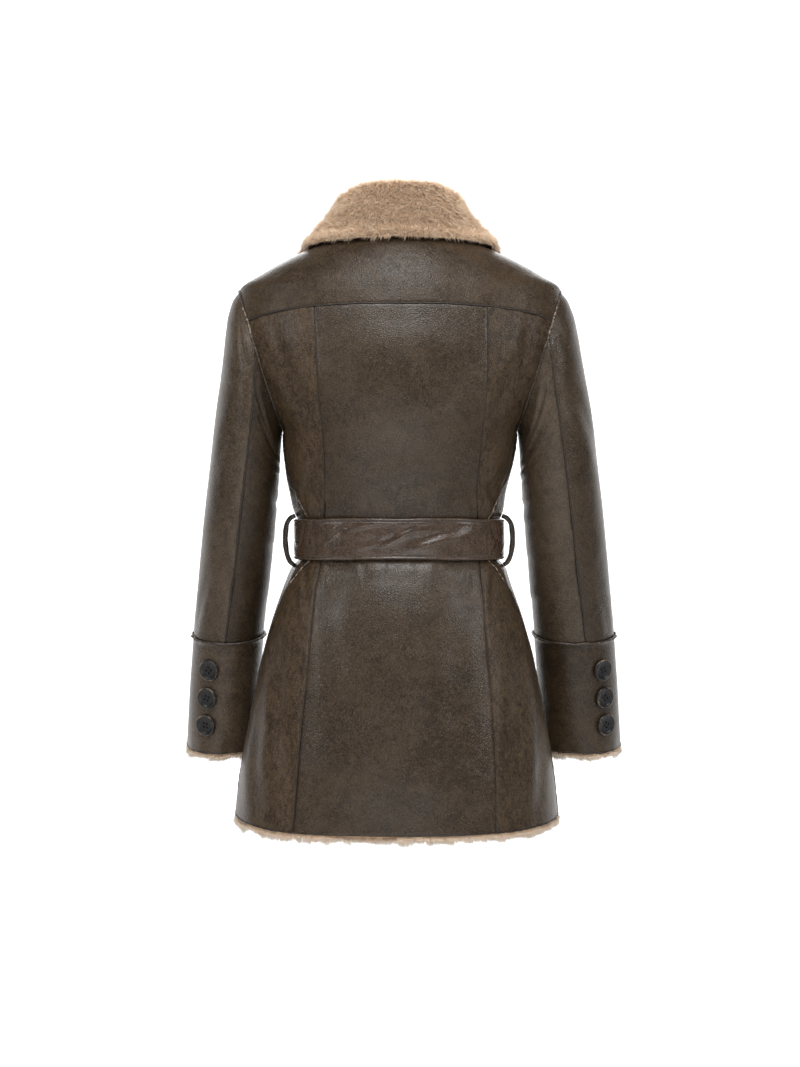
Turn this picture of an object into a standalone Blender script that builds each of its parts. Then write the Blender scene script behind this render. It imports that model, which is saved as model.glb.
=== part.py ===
"""Short belted shearling coat, filled out as if worn, with nobody in it.

Units are metres, +Z up. The coat faces -Y and the wearer's left is +X. The origin is where the wearer holds
it up: the point midway between the two places where the shoulders meet the neck.

Every panel is a wall of bonded leather and pile. The torso is a stack of level rings, each a rounded oblong
read from BODY. A place on it is a height z and a distance s along its ring, from the centre back towards the
wearer's left, through the side, to the centre front and past it.
"""

import math

import bmesh
import bpy
import numpy as np
from mathutils.bvhtree import BVHTree

# ---------------------------------------------------------------- driving sizes
WALL = 0.005  # leather skin with its pile pressed behind it
SEAM_GAP = 0.0003  # clear space between two pieces sewn together
FUR_THICK = 0.0095  # collar, whose pile stands free
LAPEL_THICK = 0.008
LAPEL_REST = 0.0014  # clear space between the lapel's back and the front it lies on
HEM_CURVE = (  # share of the way from centre back to centre front, height
    (0.0, -0.7250), (0.22, -0.7245), (0.36, -0.7210), (0.50, -0.7165), (0.70, -0.7180), (1.0, -0.7220),
)
HEM_REFERENCE = -0.72  # the ring on which distances along the hem are measured
HEM_ROW_BELOW = -0.70  # a panel's last row is the hem when it is lower than this
FUR_REACH = 0.009  # how far the pile hangs below a cut edge
BOW = 2.3  # roundness of a body ring: 2 is an ellipse, more is squarer

SHOULDER_X, SHOULDER_Z = 0.200, -0.068  # end of the shoulder, top of the armhole
UNDERARM_X, UNDERARM_Z = 0.1465, -0.240  # bottom of the armhole
ARMHOLE_HALF_DEPTH = 0.060
NECK_Z = -0.006

YOKE_Z, YOKE_DROP = -0.0933, 0.0167  # yoke seam at the centre back, and how much lower it ends

BELT_TOP, BELT_BOTTOM = -0.352, -0.402
BELT_THICK = 0.0035
BELT_CLEAR = 0.0025  # off the waist at the belt's middle, where the cloth is drawn in most
LOOP_WIDTH, LOOP_THICK = 0.010, 0.0046
LOOP_X = 0.1422  # how far out the middle of a carrier's strap stands

FRONT_LAP = 0.045  # how far each front passes the centre
BREAK_Z = -0.290  # where the lapels start to turn back
ROLL_TOP_X, ROLL_TOP_Z = 0.047, -0.035  # upper end of the straight roll line
LAP_SINK = 0.0064  # the left front lies this far inside the right one
LAPEL_SINK = 0.0168  # and this far where its lapel goes under too

BUTTON_RADIUS, BUTTON_THICK = 0.014, 0.0042
BUTTON_HEIGHTS = (-0.5415, -0.577, -0.612)
BUTTON_TURN = 28.5  # degrees outward from straight back

# ---------------------------------------------------------------- tables
# Outer size of the body rings. lean moves a ring towards the wearer's left. seam_left and seam_right are how
# far out the back princess seams lie, and side is how far out the side seam lies as a share of the half width.
BODY_COLUMNS = ("z", "half_width", "lean", "back", "front", "seam_left", "seam_right", "side")
BODY = (
    (-0.735, 0.2040, 0.0040, 0.1560, 0.1545, 0.1238, 0.1185, 0.996),
    (-0.722, 0.2015, 0.0040, 0.1540, 0.1530, 0.1230, 0.1178, 0.996),
    (-0.660, 0.1945, 0.0038, 0.1460, 0.1470, 0.1185, 0.1170, 0.994),
    (-0.600, 0.1840, 0.0032, 0.1355, 0.1400, 0.1145, 0.1140, 0.992),
    (-0.540, 0.1725, 0.0027, 0.1250, 0.1320, 0.1090, 0.1100, 0.990),
    (-0.480, 0.1580, 0.0025, 0.1130, 0.1225, 0.1045, 0.1055, 0.986),
    (-0.440, 0.1450, 0.0025, 0.1015, 0.1120, 0.1010, 0.1033, 0.960),
    (-0.425, 0.1395, 0.0022, 0.0960, 0.1070, 0.0985, 0.1015, 0.915),
    (-0.412, 0.1345, 0.0015, 0.0910, 0.1020, 0.0970, 0.1000, 0.880),
    (-0.401, 0.1256, 0.0013, 0.0854, 0.0954, 0.0955, 0.0985, 0.862),
    (-0.377, 0.1252, 0.0013, 0.0850, 0.0950, 0.0935, 0.0975, 0.855),
    (-0.354, 0.1256, 0.0014, 0.0854, 0.0954, 0.0920, 0.0970, 0.865),
    (-0.345, 0.1300, 0.0018, 0.0885, 0.0985, 0.0907, 0.0968, 0.880),
    (-0.318, 0.1355, 0.0026, 0.0950, 0.1070, 0.0892, 0.0965, 0.950),
    (-0.300, 0.1395, 0.0022, 0.0995, 0.1140, 0.0895, 0.0975, 0.985),
    (-0.270, 0.1440, 0.0008, 0.1075, 0.1260, 0.0915, 0.0988, 0.995),
    (-0.240, 0.1465, 0.0000, 0.1130, 0.1325, 0.0945, 0.1008, 1.000),
    (-0.200, 0.1700, 0.0000, 0.1155, 0.1290, 0.0983, 0.1045, 1.000),
    (-0.150, 0.1900, 0.0000, 0.1120, 0.1140, 0.1002, 0.1058, 1.000),
    (-0.110, 0.1970, 0.0000, 0.1040, 0.0970, 0.1030, 0.1055, 1.000),
    (-0.068, 0.2000, 0.0000, 0.0925, 0.0800, 0.1040, 0.1055, 1.000),
    (-0.049, 0.1745, 0.0000, 0.0850, 0.0725, 0.1040, 0.1055, 1.000),
    (-0.030, 0.1410, 0.0000, 0.0755, 0.0640, 0.1040, 0.1055, 1.000),
    (-0.0156, 0.1100, 0.0000, 0.0660, 0.0560, 0.1040, 0.1055, 1.000),
    (-0.006, 0.0830, 0.0000, 0.0570, 0.0480, 0.1040, 0.1055, 1.000),
)

# Sleeve rings from the armhole to the cuff's edge. The outer and inner lines lie in the plane of the ring's
# centre, half_depth is front to back, swing is how far forward the arm hangs, pitch lowers the back of the ring,
# and seam is the back seam, in degrees outward from straight back.
SLEEVE_COLUMNS = ("outer_x", "outer_z", "inner_x", "inner_z", "half_depth", "swing", "pitch", "seam")
SLEEVE = (
    (0.2000, -0.0680, 0.1465, -0.2400, 0.0600, 0.000, 0.00, 14),
    (0.2085, -0.0795, 0.1480, -0.2500, 0.0625, 0.000, 0.00, 5),
    (0.2150, -0.1000, 0.1490, -0.2595, 0.0640, 0.000, 0.00, 0),
    (0.2200, -0.1300, 0.1496, -0.2685, 0.0650, 0.001, 0.00, -2),
    (0.2255, -0.1680, 0.1503, -0.2790, 0.0650, 0.002, 0.01, -2),
    (0.2320, -0.2100, 0.1512, -0.2930, 0.0640, 0.003, 0.03, -2),
    (0.2385, -0.2550, 0.1528, -0.3130, 0.0625, 0.006, 0.06, -1),
    (0.2440, -0.3000, 0.1550, -0.3380, 0.0605, 0.010, 0.10, 0),
    (0.2495, -0.3450, 0.1580, -0.3680, 0.0585, 0.016, 0.14, 1),
    (0.2545, -0.3900, 0.1615, -0.4010, 0.0565, 0.024, 0.17, 2),
    (0.2595, -0.4350, 0.1660, -0.4390, 0.0545, 0.034, 0.18, 4),
    (0.2640, -0.4700, 0.1705, -0.4710, 0.0530, 0.043, 0.19, 5),
    (0.2670, -0.4980, 0.1737, -0.4980, 0.0520, 0.050, 0.19, 6),
    (0.2705, -0.5350, 0.1772, -0.5350, 0.0518, 0.059, 0.17, 6),
    (0.2738, -0.5700, 0.1800, -0.5700, 0.0518, 0.067, 0.15, 6),
    (0.2763, -0.6060, 0.1822, -0.6060, 0.0518, 0.075, 0.13, 6),
    (0.2792, -0.6430, 0.1845, -0.6430, 0.0518, 0.083, 0.12, 6),
)
CUFF_ROW = 12  # the ring where the cuff is sewn on
SIDES = {"left": 1, "right": -1}  # sign of x
SLEEVE_TURN = {"left": -6.0, "right": 6.0}  # each arm's own twist, degrees
SLEEVE_WIDEN = {"left": (-0.0038, 0.0), "right": (0.0060, -0.0030)}  # added to the outer and the inner line
SLEEVE_FRONT_SEAM = 255.0  # degrees round the ring from its outer line, by the back

# The collar from the centre back to its front end, for the wearer's left. base and crown are places in space,
# edge is an x and z on the torso.
COLLAR_COLUMNS = (
    "t", "base_x", "base_y", "base_z", "crown_x", "crown_y", "crown_z", "edge_x", "edge_z", "front",
)
COLLAR = (
    (0.00, 0.0000, 0.0480, -0.0042, 0.0000, 0.0490, 0.0570, 0.0000, -0.0110, 0),
    (0.18, 0.0310, 0.0455, -0.0042, 0.0315, 0.0450, 0.0570, 0.0430, -0.0124, 0),
    (0.36, 0.0580, 0.0335, -0.0042, 0.0570, 0.0310, 0.0500, 0.0790, -0.0138, 0),
    (0.54, 0.0740, 0.0140, -0.0042, 0.0700, 0.0080, 0.0410, 0.1055, -0.0170, 0),
    (0.70, 0.0770, -0.0060, -0.0042, 0.0710, -0.0170, 0.0310, 0.1195, -0.0215, 1),
    (0.85, 0.0590, -0.0320, -0.0090, 0.0620, -0.0450, 0.0110, 0.1235, -0.0440, 1),
    (1.00, 0.0360, -0.0520, -0.0260, 0.0440, -0.0740, -0.0200, 0.1230, -0.0690, 1),
)
COLLAR_LIFT = 0.0010  # the edge rests this far off the cloth under it
COLLAR_REST = 0.012  # and the last of the fall lies along it
COLLAR_ARCH = 0.0066  # half the space between the middles of the stand and the fall, at the crown
COLLAR_ROLL_BACK, COLLAR_ROLL_OVER, COLLAR_ROLL_DROP = 0.009, 0.0045, 0.0025  # knots either side of the crown
COLLAR_CROWN_BACK, COLLAR_CROWN_FRONT = 0.010, 0.004  # length of the roll below the crown, back and front
COLLAR_BELLY = 0.002  # the fall bows out by this
COLLAR_EASE = 0.0015  # and lifts by this where it starts to rest
COLLAR_THICK = (  # share of FUR_THICK, from the base to the edge
    0.72, 0.80, 0.86, 0.92, 0.96, 1.00, 1.00, 1.00, 1.00, 0.95, 0.55,
)

# Outline of the lapel on the wearer's left: each row runs from the roll line to the outer edge, as x and z.
LAPEL_COLUMNS = ("roll_x", "roll_z", "edge_x", "edge_z")
LAPEL = (
    (0.0455, -0.0395, 0.1290, -0.1060),
    (0.0400, -0.0550, 0.1240, -0.1230),
    (0.0320, -0.0770, 0.1160, -0.1450),
    (0.0220, -0.1050, 0.1030, -0.1700),
    (0.0110, -0.1350, 0.0860, -0.1950),
    (-0.0010, -0.1690, 0.0640, -0.2200),
    (-0.0130, -0.2020, 0.0380, -0.2440),
    (-0.0250, -0.2350, 0.0090, -0.2640),
    (-0.0350, -0.2630, -0.0180, -0.2780),
    (-0.0420, -0.2820, -0.0370, -0.2870),
)

# Gathers that the belt draws into the cloth: s as a share of the way from centre back to centre front,
# height, half width along the ring, half length, depth.
FOLD_COLUMNS = ("share", "z", "wide", "tall", "deep")
FOLDS = (
    (0.20, -0.425, 0.016, 0.045, 0.0022),
    (0.41, -0.330, 0.014, 0.040, 0.0030),
    (0.45, -0.430, 0.015, 0.055, 0.0034),
    (0.62, -0.335, 0.015, 0.045, 0.0028),
    (0.66, -0.432, 0.016, 0.060, 0.0032),
    (0.82, -0.432, 0.014, 0.050, 0.0026),
)

# Finishes: name, colour, roughness, metallic.
LEATHER = ("leather", (0.060, 0.043, 0.032), 0.42, 0.0)
FUR = ("fur", (0.520, 0.340, 0.220), 0.95, 0.0)
HORN = ("button_horn", (0.028, 0.026, 0.026), 0.30, 0.0)


# ---------------------------------------------------------------- reading the tables
def smooth(heights, values, at):
    """A curve through the values that never overshoots them, read at one or more heights."""
    h = np.asarray(heights, float)
    v = np.asarray(values, float)
    if h[0] > h[-1]:
        h, v = h[::-1], v[::-1]
    step = np.diff(h)
    slope = np.diff(v) / step
    inner = np.zeros(len(h) - 2)
    rising = slope[:-1] * slope[1:] > 0
    near, far = 2 * step[1:] + step[:-1], step[1:] + 2 * step[:-1]
    before, after = np.where(rising, slope[:-1], 1), np.where(rising, slope[1:], 1)
    inner[rising] = ((near + far) / (near / before + far / after))[rising]
    tangent = np.concatenate([[slope[0]], inner, [slope[-1]]])
    x = np.clip(np.asarray(at, float), h[0], h[-1])
    k = np.clip(np.searchsorted(h, x) - 1, 0, len(step) - 1)
    t = (x - h[k]) / step[k]
    return (
        (2 * t**3 - 3 * t**2 + 1) * v[k]
        + (t**3 - 2 * t**2 + t) * step[k] * tangent[k]
        + (3 * t**2 - 2 * t**3) * v[k + 1]
        + (t**3 - t**2) * step[k] * tangent[k + 1]
    )


def column(table, columns, name):
    return [row[columns.index(name)] for row in table]


def body(name, z):
    return float(smooth(column(BODY, BODY_COLUMNS, "z"), column(BODY, BODY_COLUMNS, name), z))


def ramp(low, high, x):
    """0 below low, 1 above high, and a soft step between."""
    t = min(1.0, max(0.0, (x - low) / (high - low)))
    return t * t * (3 - 2 * t)


def lean(z):
    return body("lean", z)


# ---------------------------------------------------------------- the torso
def armhole_x(z):
    """x of the slanting plane that the armhole lies in."""
    share = (SHOULDER_Z - z) / (SHOULDER_Z - UNDERARM_Z)
    return SHOULDER_X + (UNDERARM_X - SHOULDER_X) * share


def in_armhole(z):
    return UNDERARM_Z < z < SHOULDER_Z


def ring_size(z, face):
    """(half width, depth) of the ring at z, on the back or the front. Beside the armhole, the ring is as wide
    as it takes to meet the armhole's oval."""
    depth = body(face, z)
    if not in_armhole(z):
        return body("half_width", z), depth
    middle = (SHOULDER_Z + UNDERARM_Z) / 2
    rise = (z - middle) / (SHOULDER_Z - middle)
    beside = ARMHOLE_HALF_DEPTH * math.sqrt(max(0.0, 1 - rise * rise))
    return armhole_x(z) / (1 - (beside / depth) ** BOW) ** (1 / BOW), depth


RING_STEPS = 90
_rings = {}


def ring(z):
    """The ring at z as arrays (s, x, y), for the wearer's left, on past the centre front to the far side."""
    key = round(z, 6)
    if key not in _rings:
        turn = np.radians(np.linspace(0, 270, 3 * RING_STEPS + 1))
        sine, cosine = np.sin(turn), np.cos(turn)
        back, front = ring_size(z, "back"), ring_size(z, "front")
        wide = np.where(cosine > 0, back[0], front[0])
        deep = np.where(cosine > 0, back[1], front[1])
        x = wide * np.sign(sine) * np.abs(sine) ** (2 / BOW)
        y = deep * np.sign(cosine) * np.abs(cosine) ** (2 / BOW)
        s = np.concatenate([[0], np.cumsum(np.hypot(np.diff(x), np.diff(y)))])
        _rings[key] = (s, x, y)
    return _rings[key]


def s_of_back(z, x):
    """Distance s of the place on the back at this x. A negative x lies on the wearer's right."""
    s, xs, _ = ring(z)
    return math.copysign(float(np.interp(abs(x), xs[: RING_STEPS + 1], s[: RING_STEPS + 1])), x)


def s_of_front(z, x):
    """Distance s of the place on the front at this x. The wearer's left front runs on to negative x."""
    s, xs, _ = ring(z)
    return float(np.interp(-x, -xs[RING_STEPS:], s[RING_STEPS:]))


def s_of_side(z):
    return float(ring(z)[0][RING_STEPS])


def s_of_centre_front(z):
    return float(ring(z)[0][2 * RING_STEPS])


def gather(z, s):
    """How far the belt's gathers draw the cloth in at this place."""
    share = abs(s) / s_of_centre_front(z)
    share = min(share, 2 - share)
    deep = 0.0
    for fold in FOLDS:
        across = (share - fold[0]) * s_of_centre_front(z) / fold[2]
        along = (z - fold[1]) / fold[3]
        deep += fold[4] * math.exp(-across * across - along * along)
    return deep


def hem_z(share):
    """Height of the hem, which hangs lower at the centre back. share is 0 there and 1 at the centre front."""
    shares, heights = zip(*HEM_CURVE)
    return float(smooth(shares, heights, min(share, 2 - share)))


def hem_row(s_row, z=HEM_REFERENCE):
    """The hem's places as (z, s), from distances measured on the ring at z."""
    row = []
    for s in s_row:
        share = abs(s) / s_of_centre_front(z)
        low = hem_z(share)
        row.append((low, s * s_of_centre_front(low) / s_of_centre_front(z)))
    return row


def torso(z, s, side=1):
    """The outer place at height z and distance s, and the direction out of the cloth there. side -1 counts s
    from the centre back towards the wearer's right."""
    distance, xs, ys = ring(z)
    x = float(np.interp(abs(s), distance, xs)) * (side if s >= 0 else -side)
    y = float(np.interp(abs(s), distance, ys))
    face = "back" if y > 0 else "front"

    def level(height):
        wide, deep = ring_size(height, face)
        return (abs(x) / wide) ** BOW + (abs(y) / deep) ** BOW

    wide, deep = ring_size(z, face)
    out = np.array(
        [
            BOW / wide * (abs(x) / wide) ** (BOW - 1) * math.copysign(1, x),
            BOW / deep * (abs(y) / deep) ** (BOW - 1) * math.copysign(1, y),
            (level(z + 0.002) - level(z - 0.002)) / 0.004,
        ]
    )
    out /= np.linalg.norm(out)
    return np.array([x + lean(z), y, z]) - out * gather(z, s), out


# ---------------------------------------------------------------- solids
SMOOTH_ANGLE = 60  # degrees; a sharper bend stays an edge


def material(node, finish):
    """The node's own material in the named finish."""
    name, colour, roughness, metallic = finish
    made = bpy.data.materials.new(node + "_" + name)
    made.use_nodes = True
    shader = made.node_tree.nodes["Principled BSDF"]
    shader.inputs["Base Color"].default_value = (*colour, 1)
    shader.inputs["Roughness"].default_value = roughness
    shader.inputs["Metallic"].default_value = metallic
    made.diffuse_color = (*colour, 1)
    return made


def solid(name, points, faces, finish):
    """A closed mesh with its faces turned outwards, as an object of this name."""
    mesh = bpy.data.meshes.new(name)
    mesh.from_pydata([tuple(p) for p in points], [], faces)
    work = bmesh.new()
    work.from_mesh(mesh)
    bmesh.ops.recalc_face_normals(work, faces=work.faces)
    work.to_mesh(mesh)
    work.free()
    mesh.materials.append(material(name, finish))
    mesh.shade_smooth()
    mesh.set_sharp_from_angle(angle=math.radians(SMOOTH_ANGLE))
    obj = bpy.data.objects.new(name, mesh)
    bpy.context.scene.collection.objects.link(obj)
    return obj


ALL_EDGES = ("first_row", "last_row", "first_column", "last_column")


def trim(grid, edges):
    """Draws the named edges of a grid in by half a seam gap, so that neighbours stay clear of each other."""
    g = grid.copy()
    pairs = {
        "first_row": (g[0], grid[1] - grid[0]),
        "last_row": (g[-1], grid[-2] - grid[-1]),
        "first_column": (g[:, 0], grid[:, 1] - grid[:, 0]),
        "last_column": (g[:, -1], grid[:, -2] - grid[:, -1]),
    }
    for name in edges:
        edge, inward = pairs[name]
        edge += inward / np.linalg.norm(inward, axis=1, keepdims=True) * SEAM_GAP / 2
    return g


def stand_off(place, out, names):
    """How far the built faces of the named pieces lie from a place, along the direction out."""
    distances = []
    for name in names:
        mesh = bpy.data.objects[name].data
        tree = BVHTree.FromPolygons([v.co for v in mesh.vertices], [p.vertices for p in mesh.polygons])
        hit = tree.ray_cast(place + out * 0.03, -out, 0.06)[0]
        if hit is not None:
            distances.append(float((np.array(hit) - place) @ out))
    return max(distances)


def wall(name, outer, inner, finish, closed=False, edges=None):
    """A cloth wall between two grids of places, of the same rows and columns. closed joins the last column to
    the first, as on a tube."""
    if edges is None:
        edges = ("first_row", "last_row") if closed else ALL_EDGES
    outer, inner = trim(outer, edges), trim(inner, edges)
    rows, columns = outer.shape[:2]
    count = rows * columns

    def at(i, j, layer):
        return layer * count + i * columns + j % columns

    faces = []
    for i in range(rows - 1):
        for j in range(columns if closed else columns - 1):
            for layer in (0, 1):
                square = (at(i, j, layer), at(i, j + 1, layer), at(i + 1, j + 1, layer), at(i + 1, j, layer))
                faces.append(square if layer else square[::-1])
    for i in (0, rows - 1):
        for j in range(columns if closed else columns - 1):
            faces.append((at(i, j, 0), at(i, j + 1, 0), at(i, j + 1, 1), at(i, j, 1)))
    if not closed:
        for j in (0, columns - 1):
            for i in range(rows - 1):
                faces.append((at(i, j, 0), at(i + 1, j, 0), at(i + 1, j, 1), at(i, j, 1)))
    points = np.concatenate([outer.reshape(-1, 3), inner.reshape(-1, 3)])
    return solid(name, points, faces, finish)


def on_torso(places, side=1, lift=0.0, thick=WALL, sink=None):
    """(outer grid, inner grid) of a panel from its rows of (z, s). side -1 puts it on the wearer's right."""
    outer, inner = [], []
    for row in places:
        out_row, in_row = [], []
        for z, s in row:
            place, out = torso(z, s, side)
            if row is places[-1] and z < HEM_ROW_BELOW:  # the hem is cut level
                out = out * (1, 1, 0) / np.hypot(out[0], out[1])
            raised = lift - (sink(place) if sink else 0.0)
            out_row.append(place + out * raised)
            in_row.append(place + out * (raised - thick))
        outer.append(out_row)
        inner.append(in_row)
    return np.array(outer), np.array(inner)


# ---------------------------------------------------------------- panels of the body
CENTRE_COLUMNS, SIDE_COLUMNS, FRONT_COLUMNS = 8, 6, 12
ARMHOLE_ROWS = (-0.130, -0.152, -0.174, -0.196, -0.216, -0.232, UNDERARM_Z)
LOWER_ROWS = (
    -0.262, -0.290, -0.318, -0.343, -0.354, -0.377, -0.401,
    -0.412, -0.430, -0.460, -0.505, -0.555, -0.610, -0.665,
)
YOKE_STEPS = (0.0, 0.5, 1.0)  # from the yoke seam up to the shoulder point's height
NECK_ROWS = (-0.056, -0.044, -0.032, -0.022, -0.013, NECK_Z)
FRONT_SHOULDER_ROWS = (SHOULDER_Z, -0.086, -0.108)


def s_of_end(z):
    """Where a back panel ends: at the armhole, the shoulder's ridge above it, or the side seam below it."""
    if z >= SHOULDER_Z:
        return s_of_side(z)
    if z > UNDERARM_Z:
        return s_of_back(z, armhole_x(z))
    return s_of_back(z, body("side", z) * ring_size(z, "back")[0])


def yoke_seam():
    """The yoke seam as (z, s), from the wearer's right armhole to the left one."""
    share_at_princess = 0.55
    row = []
    for k in range(-SIDE_COLUMNS, 0):
        share = share_at_princess + (1 - share_at_princess) * -k / SIDE_COLUMNS
        z = YOKE_Z - YOKE_DROP * share**3
        near, far = s_of_back(z, body("seam_right", z)), s_of_end(z)
        row.append((z, -(near + (far - near) * -k / SIDE_COLUMNS)))
    for k in range(CENTRE_COLUMNS + 1):
        share = share_at_princess * abs(2 * k / CENTRE_COLUMNS - 1)
        z = YOKE_Z - YOKE_DROP * share**3
        right, left = -s_of_back(z, body("seam_right", z)), s_of_back(z, body("seam_left", z))
        row.append((z, right + (left - right) * k / CENTRE_COLUMNS))
    for k in range(1, SIDE_COLUMNS + 1):
        share = share_at_princess + (1 - share_at_princess) * k / SIDE_COLUMNS
        z = YOKE_Z - YOKE_DROP * share**3
        near, far = s_of_back(z, body("seam_left", z)), s_of_end(z)
        row.append((z, near + (far - near) * k / SIDE_COLUMNS))
    return row


def back_yoke():
    seam = yoke_seam()
    shares = [s / s_of_end(z) for z, s in seam]
    rows = []
    for step in YOKE_STEPS:
        heights = [z + (SHOULDER_Z - z) * step for z, _ in seam]
        rows.append([(z, s_of_end(z) * share) for z, share in zip(heights, shares)])
    rows[0] = seam
    for z in NECK_ROWS:
        rows.append([(z, s_of_end(z) * share) for share in shares])
    wall("back_yoke", *on_torso(rows), LEATHER)


def back_centre():
    rows = [yoke_seam()[SIDE_COLUMNS : SIDE_COLUMNS + CENTRE_COLUMNS + 1]]
    for z in ARMHOLE_ROWS + LOWER_ROWS:
        ends = -s_of_back(z, body("seam_right", z)), s_of_back(z, body("seam_left", z))
        rows.append([(z, s) for s in np.linspace(*ends, CENTRE_COLUMNS + 1)])
    right = s_of_back(HEM_REFERENCE, body("seam_right", HEM_REFERENCE))
    left = s_of_back(HEM_REFERENCE, body("seam_left", HEM_REFERENCE))
    ends = -right, left
    rows.append(hem_row(np.linspace(*ends, CENTRE_COLUMNS + 1)))
    wall("back_centre", *on_torso(rows), LEATHER)


def back_side(side):
    seam = yoke_seam()
    top = seam[-SIDE_COLUMNS - 1 :] if side == "left" else seam[SIDE_COLUMNS::-1]
    rows = [[(z, abs(s)) for z, s in top]]
    for z in ARMHOLE_ROWS + LOWER_ROWS:
        near = s_of_back(z, body("seam_" + side, z))
        rows.append([(z, s) for s in np.linspace(near, s_of_end(z), SIDE_COLUMNS + 1)])
    near = s_of_back(HEM_REFERENCE, body("seam_" + side, HEM_REFERENCE))
    rows.append(hem_row(np.linspace(near, s_of_end(HEM_REFERENCE), SIDE_COLUMNS + 1)))
    wall("back_side_" + side, *on_torso(rows, SIDES[side]), LEATHER)


NECKLINE_Z = (ROLL_TOP_Z, -0.023, -0.0156, -0.010, NECK_Z)
NECKLINE_X = (ROLL_TOP_X, 0.056, 0.066, 0.074, 0.0815)


def roll_x(z):
    """x of the left front's inner edge: the lap below the break, the roll line above it, and the neckline."""
    if z <= BREAK_Z:
        return -FRONT_LAP
    if z <= ROLL_TOP_Z:
        share = (z - BREAK_Z) / (ROLL_TOP_Z - BREAK_Z)
        return -FRONT_LAP + (ROLL_TOP_X + FRONT_LAP) * share
    return float(smooth(NECKLINE_Z, NECKLINE_X, z))


def lap_sink(place):
    """How far inside the torso's surface the left front lies, to pass under the right front and its lapel."""
    x, _, z = place
    under = 1 - ramp(0.004, 0.048, x - lean(z) + roll_x(z))
    deep = LAP_SINK + (LAPEL_SINK - LAP_SINK) * ramp(-0.335, BREAK_Z - 0.005, z)
    return deep * under


def front(side):
    heights = NECK_ROWS[::-1] + FRONT_SHOULDER_ROWS + ARMHOLE_ROWS + LOWER_ROWS
    rows = []
    for z in heights:
        if z >= SHOULDER_Z:
            start = s_of_side(z)
        elif z > UNDERARM_Z:
            start = s_of_front(z, armhole_x(z))
        else:
            start = s_of_end(z)
        rows.append([(z, s) for s in np.linspace(start, s_of_front(z, roll_x(z)), FRONT_COLUMNS + 1)])
    ends = s_of_end(HEM_REFERENCE), s_of_front(HEM_REFERENCE, -FRONT_LAP)
    rows.append(hem_row(np.linspace(*ends, FRONT_COLUMNS + 1)))
    sink = lap_sink if side == "left" else None
    wall("front_" + side, *on_torso(rows, SIDES[side], sink=sink), LEATHER)


def lapel(side):
    """The turned-back edge, lying on the front with its pile outwards."""
    outline = np.array(LAPEL)
    along = np.linspace(0, 1, len(LAPEL))
    rows = []
    for t in np.linspace(0, 1, 15):
        roll_at = [float(smooth(along, outline[:, k], t)) for k in (0, 1)]
        edge_at = [float(smooth(along, outline[:, k], t)) for k in (2, 3)]
        row = []
        for share in np.linspace(0, 1, 7):
            x, z = (a + (b - a) * share for a, b in zip(roll_at, edge_at))
            row.append((z, s_of_front(z, x)))
        rows.append(row)
    sink = lap_sink if side == "left" else None
    lift = LAPEL_THICK + LAPEL_REST
    wall("lapel_" + side, *on_torso(rows, SIDES[side], lift, LAPEL_THICK, sink), FUR)


# ---------------------------------------------------------------- collar
COLLAR_STATIONS = 12


def collar_line(t):
    """The middle line of the collar's cloth at t: up the stand, over the crown, down the fall to its edge."""
    stations = column(COLLAR, COLLAR_COLUMNS, "t")

    def read(name):
        return float(smooth(stations, column(COLLAR, COLLAR_COLUMNS, name), t))

    base = np.array([read("base_x"), read("base_y"), read("base_z")])
    crown = np.array([read("crown_x"), read("crown_y"), read("crown_z")])
    x, z = read("edge_x"), read("edge_z")
    z = min(z, ridge_z(x))
    s = s_of_back(z, x) if read("front") < 0.5 else s_of_front(z, x)
    place, out = torso(z, s)
    edge = place + out * (COLLAR_LIFT + FUR_THICK / 2)
    way = edge - crown
    way -= out * (way @ out)
    rest = edge - way / np.linalg.norm(way) * COLLAR_REST + out * COLLAR_EASE
    up = crown - base
    stand = np.linalg.norm(up)
    up /= stand
    over = rest - base
    over -= up * (over @ up)
    over /= np.linalg.norm(over)
    down = COLLAR_CROWN_BACK - (COLLAR_CROWN_BACK - COLLAR_CROWN_FRONT) * ramp(0.7, 1.0, t)
    rise = crown - up * down - over * COLLAR_ARCH
    fall = crown - up * down + over * COLLAR_ARCH
    belly = (fall + rest) / 2 + out * COLLAR_BELLY
    roll = over * COLLAR_ROLL_OVER - up * COLLAR_ROLL_DROP
    knots = [base, (base + rise) / 2, rise, crown - over * COLLAR_ROLL_BACK + roll, crown, crown + roll]
    outside = (fall, belly, rest, (rest + edge) / 2, edge)
    knots += [clear_of_torso(place, COLLAR_LIFT + FUR_THICK / 2) for place in outside]
    return np.array(knots)


def clear_of_torso(place, need):
    """Moves a place out until it is the needed distance off the torso."""
    z = min(place[2], NECK_Z)
    s, xs, ys = ring(z)
    turns = np.arctan2(xs, ys)[: 2 * RING_STEPS + 1]
    below, out = torso(z, float(np.interp(math.atan2(place[0], place[1]), turns, s[: 2 * RING_STEPS + 1])))
    return place + out * max(0.0, need - float((place - below) @ out))


def ridge_z(x):
    """Height of the shoulder's ridge at x, a hair below it."""
    upper = [row for row in BODY if row[0] >= SHOULDER_Z]
    return float(smooth([-row[1] for row in upper], [row[0] for row in upper], -x)) - 0.0004


def collar():
    """One loft of arched sections from the right front end round the back to the left one."""
    lines = np.array([collar_line(t) for t in np.linspace(0, 1, COLLAR_STATIONS)])
    lines[0][:, 0] = 0.0
    lines = np.concatenate([lines[:0:-1] * (-1, 1, 1), lines])
    out = np.cross(np.gradient(lines, axis=0), np.gradient(lines, axis=1))
    out /= np.linalg.norm(out, axis=2, keepdims=True)
    half = out * (np.array(COLLAR_THICK) * FUR_THICK / 2)[None, :, None]
    half[0] *= 0.7
    half[-1] *= 0.7
    wall("collar", lines + half, lines - half, FUR)


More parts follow.
